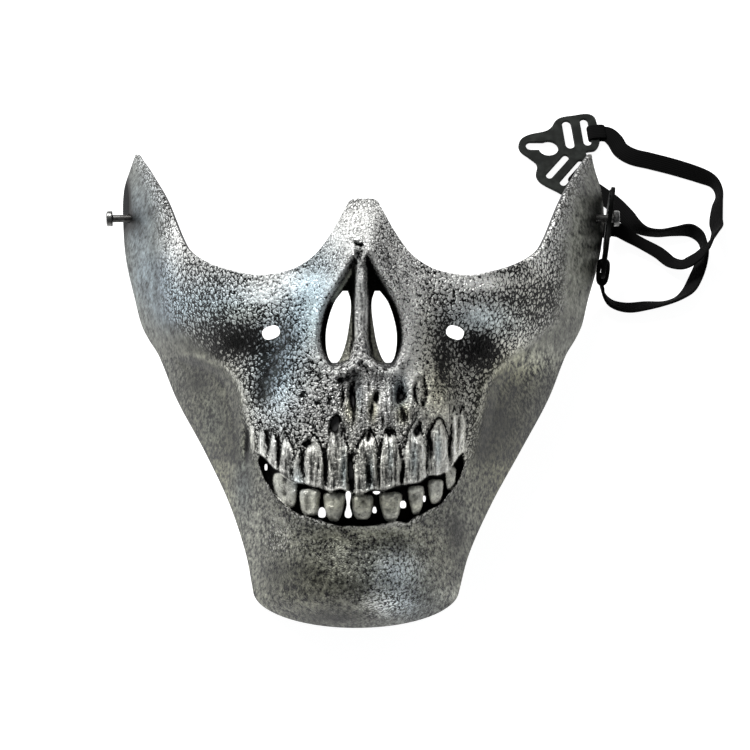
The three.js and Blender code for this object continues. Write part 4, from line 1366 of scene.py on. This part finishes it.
def paint_places(across, up):
    """Amounts of each effect of the paint at spots of the front view, from 0 to 1: how much silver hides
    the black, with painted highlights and painted shade in it, crackle and its fineness, fine grain,
    streaks, and cool and warm tints."""
    around = lambda reach: np.mean(
        [relief(across + reach * math.cos(turn), up + reach * math.sin(turn)) for turn in circle(8)], axis=0
    )
    hollow = sum(share * around(reach) for reach, share in zip(*HOLLOW_RINGS.values())) - relief(across, up)
    shifted = wobbled(across, up)
    mouth = in_mouth(*shifted)
    pegs = mouth * lower_teeth(across, up)
    crowns = upper_teeth(*shifted)[1]
    edge = by_level(PEBBLE_EDGE, "across", up)
    textured = 1 - ramp(np.abs(across), edge - 5, edge + 4)
    textured *= 1 - np.clip(bowls(across, up, SMOOTH_SPOTS), 0, 0.85)
    beside = np.clip(across, MOUTH["middle"] - MOUTH["half"], MOUTH["middle"] + MOUTH["half"])
    bite = lip(beside, UPPER_LIP)
    chin = ramp(lip(beside, LOWER_LIP) - up, -1, 3)
    patch = bowls(across, up, CHIN_PATCHES)
    opening, black, rim = nasal_places(across, up)
    below = past_cheek(across, up)
    plate = ramp(below, -1, 2) * (1 - ramp(up, 4, 10)) * (1 - chin)
    streaky = streaked(across, up, crowns) * (1 - mouth)
    bony = bony_amount(across, up)
    by_nose = (1 - ramp(np.abs(across), 16, 34)) * ramp(up, 2, 14)
    worn = (0.15 + 0.85 * np.maximum(streaky, bony)) * (1 - 0.8 * bell(up, bite, 3))
    places = dict(
        tooth=streaky,
        ridge=worn * ramp(-hollow, 0.05, 0.6),
        hollow=ramp(hollow, 0.08, 0.9) * (1 - opening),
        # Painted highlight along the cheekbone's crest
        crest=bell(below, -0.8, 0.9) * ramp(up, -30, -4) * (1 - ramp(up, *CREST_TOP)),
        jaw=plate,
        chin=chin,
        # Black wash with painted shade in the nasal opening and in the open mouth round the lower teeth
        recess_wash_and_shade=black + mouth * (1 - ramp(pegs, 0.05, 0.4)),
        crown_edge=bell(crowns, 0.6, 0.22),
        crown=ramp(crowns, 0.8, 1.1),
        peg=ramp(pegs, 0.3, 0.7),
        peg_rim=bell(pegs, 0.66, 0.16),
        # Paler paint on the walls inside the nasal opening, raised further as painted light where the lamp
        # misses them
        nasal_wall_light=opening * (1 - black),
        nasal_lip=rim,
        bite=ramp(crowns, 0.3, 0.8) * bell(shifted[1], bite + 0.7, 0.6),
    )
    # How much silver hides the black, with painted highlights and painted shade added in
    cover_and_light = PLAIN_COVER + bowls(across, up, PAINT_AND_LIGHT_SPOTS) + sum(TONE[kind] * places[kind] for kind in TONE)
    return {
        "cover_and_light": cover_and_light,
        "pebble": textured * (1 - 0.8 * chin * (1 - patch)) * (1 - 0.5 * opening) * (1 - 0.74 * mouth),
        "fineness": np.maximum(np.maximum(by_nose, chin) * (1 - patch), 0.8 * ramp(bony, 0, 0.4)),
        "grain": 0.5 + 0.5 * chin + 0.7 * plate - 0.15 * mouth + 0.4 * ramp(across, 40, 60) * textured,
        "streaky": streaky,
        "cool": bowls(across, up, COOL_SPOTS),
        "warm": bowls(across, up, WARM_SPOTS) + 0.5 * opening,
    }


def store(mesh, name, values, kind="FLOAT"):
    """A value for each point of a mesh."""
    layer = mesh.attributes.new(name, kind, "POINT")
    field = "vector" if kind == "FLOAT_VECTOR" else "value"
    layer.data.foreach_set(field, np.ascontiguousarray(values, np.float32).ravel())


def points_of(mesh):
    """All points of a mesh in millimetres."""
    points = np.empty(len(mesh.vertices) * 3, np.float32)
    mesh.vertices.foreach_get("co", points)
    return points.reshape(-1, 3).astype(float) / MM


def hole_cutter():
    """All that is cut from the shell: nostrils, cheek holes, gaps between the lower teeth, stud holes."""
    holes = []
    for side in (-1, 1):
        holes.append(nostril_hole(side))
        tilt = math.radians(-side * VENT["tilt"])
        holes.append(round_hole(side * VENT["across"], VENT["up"], VENT["long"], VENT["high"], turn=tilt))
    for across, up, wide, high, waist, flare in zip(*TOOTH_GAPS.values()):
        holes.append(round_hole(across, up, wide, high, waist=waist, flare=flare, count=28))
    cuts = [(laid(points), faces) for points, faces in map(prism, holes)]
    return joined(cuts + [drill(*stud_place(side)) for side in (-1, 1)])


def mask_shell():
    """The painted shell: the thick grid with its clear holes and stud holes cut, and the paint's places."""
    points, walls, backs, fans = shell_mesh()
    paint = painted_finish()
    plastic = bare_plastic()
    faces = [*walls.tolist(), *backs.tolist(), *fans.tolist()]
    placed = laid(points)
    placed[:, 2] = np.maximum(placed[:, 2], 0)
    shell = new_piece("skull_shell", placed, faces, [paint, plastic], "mask_shell")
    kinds = np.r_[np.zeros(len(walls), np.int32), np.ones(len(backs) + len(fans), np.int32)]
    shell.data.polygons.foreach_set("material_index", kinds)
    cut_points, cut_faces = hole_cutter()
    cutter = linked("holes", new_mesh("holes", cut_points * MM, cut_faces, [plastic]))
    cut = shell.modifiers.new("holes", "BOOLEAN")
    cut.object = cutter
    cut.operation = "DIFFERENCE"
    cut.solver = "MANIFOLD"
    cut.material_mode = "TRANSFER"
    finished = evaluated(shell)
    shell.modifiers.clear()
    shell.data = finished
    bpy.data.objects.remove(cutter)
    smooth(finished, CREASE["shell"])
    across, up = seen(unlaid(points_of(finished)))
    for name, values in paint_places(across, up).items():
        store(finished, name, np.clip(values, *PAINT_RANGE))
    store(finished, "front", np.stack([across, up, 0 * up], -1), "FLOAT_VECTOR")


def lathe(profile, pos, axis, count=48):
    """A turned piece: a profile of radius and height carried once round an axis."""
    profile = np.asarray(profile)
    points = pos + profile[1:-1, None, :1] * ring_about(axis, count) + profile[1:-1, None, 1:] * axis
    ends = pos + profile[[0, -1], 1:] * axis
    here = np.arange(count)
    ahead = np.roll(here, -1)
    walls = np.stack([here, ahead, ahead + count, here + count], -1)
    last = (len(profile) - 3) * count
    low = last + count
    faces = np.concatenate([walls + start for start in range(0, last, count)]).tolist()
    faces += np.stack([ahead, here, 0 * here + low], -1).tolist()
    faces += np.stack([here + last, ahead + last, 0 * here + low + 1], -1).tolist()
    return np.concatenate([points.reshape(-1, 3), ends]), faces


def stud(side, finish):
    """A stud: a flange inside the ear, a shank through it, and a round head with a rolled edge."""
    pos, axis = stud_place(side)
    reach = STUD["reach"]
    top = reach + STUD["head_thick"]
    head = STUD["head"] / 2
    edge = STUD["edge"]
    turn = np.linspace(0, math.pi / 2, 7)
    profile = [
        (0, FLANGE_TOP - STUD["flange_thick"]),
        (STUD["flange"] / 2, FLANGE_TOP - STUD["flange_thick"]),
        (STUD["flange"] / 2, FLANGE_TOP),
        (STUD["shank"] / 2, FLANGE_TOP),
        (STUD["shank"] / 2, reach),
        (head - STUD_BEVEL, reach),
        (head, reach + STUD_BEVEL),
        *zip(head - edge * (1 - np.cos(turn)), top - edge * (1 - np.sin(turn))),
        (0, top),
    ]
    name = "left" if side < 0 else "right"
    points, faces = lathe(profile, pos, axis)
    piece = new_piece(f"stud_{name}", points, faces, [finish], f"strap_post_{name}")
    shine = ramp((points - pos) @ axis, reach - STUD_BLACK_END, reach + STUD_BLACK_END)
    store(piece.data, "shine", shine)
    smooth(piece.data, CREASE["hard"])


def smooth_loop(points, count):
    """A closed smooth curve through points, read evenly along the chords between them."""
    wrapped = np.r_[points[-3:], points, points[:3]]
    gone = way(wrapped)
    at = gone[3] + (gone[-3] - gone[3]) * np.arange(count) / count
    return np.stack([through(gone, column, at) for column in wrapped.T], -1)


def arc(x, y, radius, start, end, count=14):
    """Points along part of a circle."""
    turn = np.linspace(start, end, count)
    return np.stack([x + radius * np.cos(turn), y + radius * np.sin(turn)], -1)


def slot_loop(from_x, from_y, to_x, to_y, wide):
    """Outline of a slot with round ends."""
    turn = math.atan2(to_y - from_y, to_x - from_x)
    quarter = math.pi / 2
    ends = [
        arc(to_x, to_y, wide / 2, turn - quarter, turn + quarter),
        arc(from_x, from_y, wide / 2, turn + quarter, turn + 3 * quarter),
    ]
    return np.concatenate(ends)


def keyhole_loop():
    """Outline of the keyhole: a round hole that runs into a neck with a round end."""
    k = KEYHOLE
    half = k["neck"] / 2
    meet = lambda up: math.pi - math.asin(up / k["half_up"])
    turn = np.linspace(meet(k["neck_up"] - half), meet(k["neck_up"] + half) + 2 * math.pi, 40)
    hole = np.stack([k["half_across"] * np.cos(turn), k["half_up"] * np.sin(turn)], -1)
    return np.concatenate([hole, arc(k["neck_end"], k["neck_up"], half, math.pi / 2, 1.5 * math.pi)])


def plate_mesh():
    """The keyhole plate on z = 0: a filled flat curve with rounded edges, made a mesh."""
    curve = bpy.data.curves.new("plate", "CURVE")
    curve.dimensions = "2D"
    curve.fill_mode = "BOTH"
    curve.extrude = PLATE["thick"] / 2 - PLATE["edge"]
    curve.bevel_depth = PLATE["edge"]
    curve.bevel_resolution = 2
    curve.offset = -PLATE["edge"]
    outer = np.stack([PLATE_OUTLINE["x"], PLATE_OUTLINE["y"]], -1)
    loops = [smooth_loop(outer, 200), keyhole_loop()]
    loops += [slot_loop(*row) for row in zip(*PLATE_SLOTS.values())]
    for loop in loops:
        spline = curve.splines.new("POLY")
        spline.points.add(len(loop) - 1)
        spline.points.foreach_set("co", np.c_[loop, 0 * loop].ravel())
        spline.use_cyclic_u = True
    flat = linked("plate", curve)
    mesh = evaluated(flat)
    bpy.data.objects.remove(flat)
    # The curve is drawn in millimetres, so its mesh is too
    points = points_of(mesh) * MM
    points[:, 2] += PLATE["thick"] / 2
    return points, [list(face.vertices) for face in mesh.polygons]


def plate_place(name):
    """Place and directions of a plate. The free one lies flat on the elastics folded under it. The hooked
    one hangs on the right stud by its round hole, legs down the ear and back outwards, tilted so that the
    legs lie closer to the ear than the tip does."""
    if name == "free":
        return FREE_PLATE, np.eye(3)
    pos, axis = stud_place(1)
    face_down = -LEAN[1]
    down = unit(face_down - axis * (face_down @ axis))
    front = np.cross(down, axis)
    tilt = Matrix.Rotation(math.radians(-HOOKED_PLATE["tilt"]), 3, Vector(front))
    inward = np.array(tilt @ Vector(-axis))
    down = np.array(tilt @ Vector(down))
    turn = math.radians(HOOKED_PLATE["turn"])
    x = down * math.cos(turn) + front * math.sin(turn)
    y = front * math.cos(turn) - down * math.sin(turn)
    return pos + axis * HOOKED_PLATE["outer_face"] - down * HOOKED_PLATE["lift"], np.stack([x, y, inward])


def plates(finish):
    """The free plate, and the same plate hooked on the right stud."""
    points, faces = plate_mesh()
    made = []
    for name, plate_light in PLATE_LIGHT.items():
        pos, axes = plate_place(name)
        placed = pos + points @ axes
        piece = new_piece(f"plate_{name}", placed, faces, [finish], f"strap_plate_{name}")
        smooth(piece.data, CREASE["hard"])
        # Painted shade: the hooked plate's colour is made far darker than the free one's
        store(piece.data, "plate_light", np.full(len(points), plate_light))
        made.append(piece)
    return made


def band(centre, across, face, wide, thick, closed):
    """A flat band: a rounded section carried along a line, with its width and face directions given at
    each point. Also gives each point's place on the weave, across and along the band."""
    around = ELASTIC["around"]
    turn = circle(around)
    w = wide / 2 * squared(np.cos(turn), ELASTIC["corner"])
    h = thick / 2 * squared(np.sin(turn), ELASTIC["corner"])
    points = centre[:, None] + w[:, None] * across[:, None] + h[:, None] * face[:, None]
    weave = np.stack(np.broadcast_arrays(w, way(centre)[:, None], 0.0), -1)
    count = len(centre)
    j = np.arange(count if closed else count - 1)[:, None] * around
    i = np.arange(around)
    following = (j + around) % (count * around)
    ahead = np.roll(i, -1)
    quads = np.stack(np.broadcast_arrays(j + i, following + i, following + ahead, j + ahead), -1)
    faces = quads.reshape(-1, 4).tolist()
    if not closed:
        faces += [i.tolist(), (i[::-1] + (count - 1) * around).tolist()]
    return points.reshape(-1, 3), faces, weave.reshape(-1, 3)


def braided(name, node, finish, centre, along, across, wide, thick, closed=False):
    """A piece of elastic: a band along a line, with its weave."""
    points, faces, weave = band(centre, across, np.cross(across, along), wide, thick, closed)
    piece = new_piece(name, points, faces, [finish], node)
    smooth(piece.data, CREASE["band"])
    store(piece.data, "weave", weave, "FLOAT_VECTOR")
    return piece


def route_line(route, steps):
    """Even steps along a route, with the roll there: smooth curves through its points over the square
    root of the chords."""
    rows = np.stack([route["x"], route["y"], route["z"], route["roll"]], -1)
    keys = way(rows[:, :3], 0.5)
    fine = np.linspace(0, keys[-1], 4000)
    dense = np.stack([through(keys, column, fine) for column in rows.T], -1)
    gone = way(dense[:, :3])
    line = between(np.linspace(0, gone[-1], steps + 1), gone, dense)
    return line[:, :3], np.radians(line[:, 3]), gone[-1]


def elastic(name, route, finish):
    """A flat elastic along its route: the roll turns its width from level to upright."""
    line, roll, length = route_line(route, ELASTIC["steps"])
    along = unit(np.gradient(line, axis=0))
    level = unit(np.cross(along, (0, 0, 1.0)))
    across = level * np.cos(roll)[:, None] + np.cross(level, along) * np.sin(roll)[:, None]
    sizes = ELASTIC["wide"], ELASTIC["thick"]
    return braided(f"elastic_{name}", f"strap_{name}", finish, line, along, across, *sizes), line, length


# Folded ends of the elastics round the plates' bars, in the plate's own frame
FOLD = dict(wide=6.4, steps=64, clear=0.2, end_square=0.6, face_square=0.7)
FOLDS = {
    "upper_free": dict(bar=(19.5, 7.4), out=(0.9946, 0.104), bar_half=1.7, reach=4.6, thick=0.95),
    "upper_hooked": dict(bar=(11.35, -13.6), out=(0.774, -0.633), bar_half=1.4, reach=2.6, thick=1.3),
    "lower_free": dict(bar=(11.35, -13.6), out=(0.774, -0.633), bar_half=1.4, reach=4.4, thick=0.95),
    "lower_hooked": dict(bar=(19.5, 7.6), out=(0.9946, 0.104), bar_half=1.7, reach=5.4, thick=1.6),
}


def fold(name, finish):
    """An elastic's end folded round a plate's bar: a flat oval loop that passes over and under the bar and
    closes where the band leaves it."""
    size = FOLDS[name]
    pos, axes = plate_place(name.split("_")[1])
    bar = pos + np.array([*size["bar"], PLATE["thick"] / 2]) @ axes
    out = np.array([*size["out"], 0]) @ axes
    lift = PLATE["thick"] / 2 + FOLD["clear"] + size["thick"] / 2
    back = size["bar_half"] + FOLD["clear"] + size["thick"] / 2
    turn = circle(FOLD["steps"])
    x = squared(np.cos(turn), FOLD["end_square"])
    x = np.where(x > 0, x * size["reach"], x * back)
    y = lift * squared(np.sin(turn), FOLD["face_square"])
    line = bar + x[:, None] * out + y[:, None] * axes[2]
    along = unit(np.roll(line, -1, 0) - np.roll(line, 1, 0))
    across = np.broadcast_to(np.cross(axes[2], out), line.shape)
    sizes = FOLD["wide"], size["thick"]
    return braided(f"fold_{name}", None, finish, line, along, across, *sizes, closed=True)


# Camera, floor and light: sizes in metres
SENSOR = 36
NEAREST = 0.01
FLOOR = dict(radius=3, corners=96, grey=(0.35, 0.35, 0.35, 1), glow=0.95)
LAMP = dict(at=(-0.42, 0.62, 0.8), aim=(0, 0.02, 0.06), size=0.4, power=23)
SKY = dict(color=(0.9, 0.92, 0.95, 1), strength=0.18)


def aimed(name, data, at, target):
    """A camera or lamp at one point that looks at another."""
    made = linked(name, data)
    made.location = at
    made.rotation_euler = Vector(np.subtract(target, at)).to_track_quat("-Z", "Y").to_euler()
    return made


def camera():
    """The photograph's view: square to the face, one viewing distance from the ears' back edges."""
    eye, target = laid([[VIEW_ACROSS, 0, VIEW_DISTANCE], [VIEW_ACROSS, 0, 0]]) * MM
    lens = bpy.data.cameras.new("camera")
    lens.sensor_width = SENSOR
    lens.lens = SENSOR * VIEW_DISTANCE / (PHOTO_SIZE * PIXEL)
    lens.clip_start = NEAREST
    bpy.context.scene.camera = aimed("camera", lens, eye, target)


def floor():
    """A wide plain white floor that glows a little, so that shadows on it stay faint."""
    glow = dict(emission_color=WHITE, emission_strength=FLOOR["glow"])
    white = Finish("floor_white", base_color=FLOOR["grey"], roughness=0.9, **glow).material
    turn = circle(FLOOR["corners"])
    points = FLOOR["radius"] * np.stack([np.cos(turn), np.sin(turn), 0 * turn], -1)
    linked("floor", new_mesh("floor", points, [list(range(len(turn)))], [white]))


def studio():
    """A soft square lamp above the brow and a little to the left, under a pale sky."""
    light = bpy.data.lights.new("key", "AREA")
    light.size = LAMP["size"]
    light.energy = LAMP["power"]
    aimed("key", light, LAMP["at"], LAMP["aim"])
    world = bpy.data.worlds.new("sky")
    world.use_nodes = True
    sky = world.node_tree.nodes["Background"].inputs
    sky["Color"].default_value = SKY["color"]
    sky["Strength"].default_value = SKY["strength"]
    bpy.context.scene.world = world
    bpy.context.scene.view_settings.view_transform = "Standard"


# Everything in place
camera()
braid = elastic_finish()
upper, upper_line, upper_length = elastic("upper", UPPER_ROUTE, braid)
lower, lower_line, lower_length = elastic("lower", LOWER_ROUTE, braid)
plate_free, plate_hooked = plates(plate_finish())
folds = {name: fold(name, braid) for name in FOLDS}
upper_line[0] * MM
upper_length * MM
upper_line * MM
lower_line[0] * MM
lower_length * MM
lower_line * MM
metal = stud_finish()
for side in (-1, 1):
    stud(side, metal)
mask_shell()
floor()
studio()
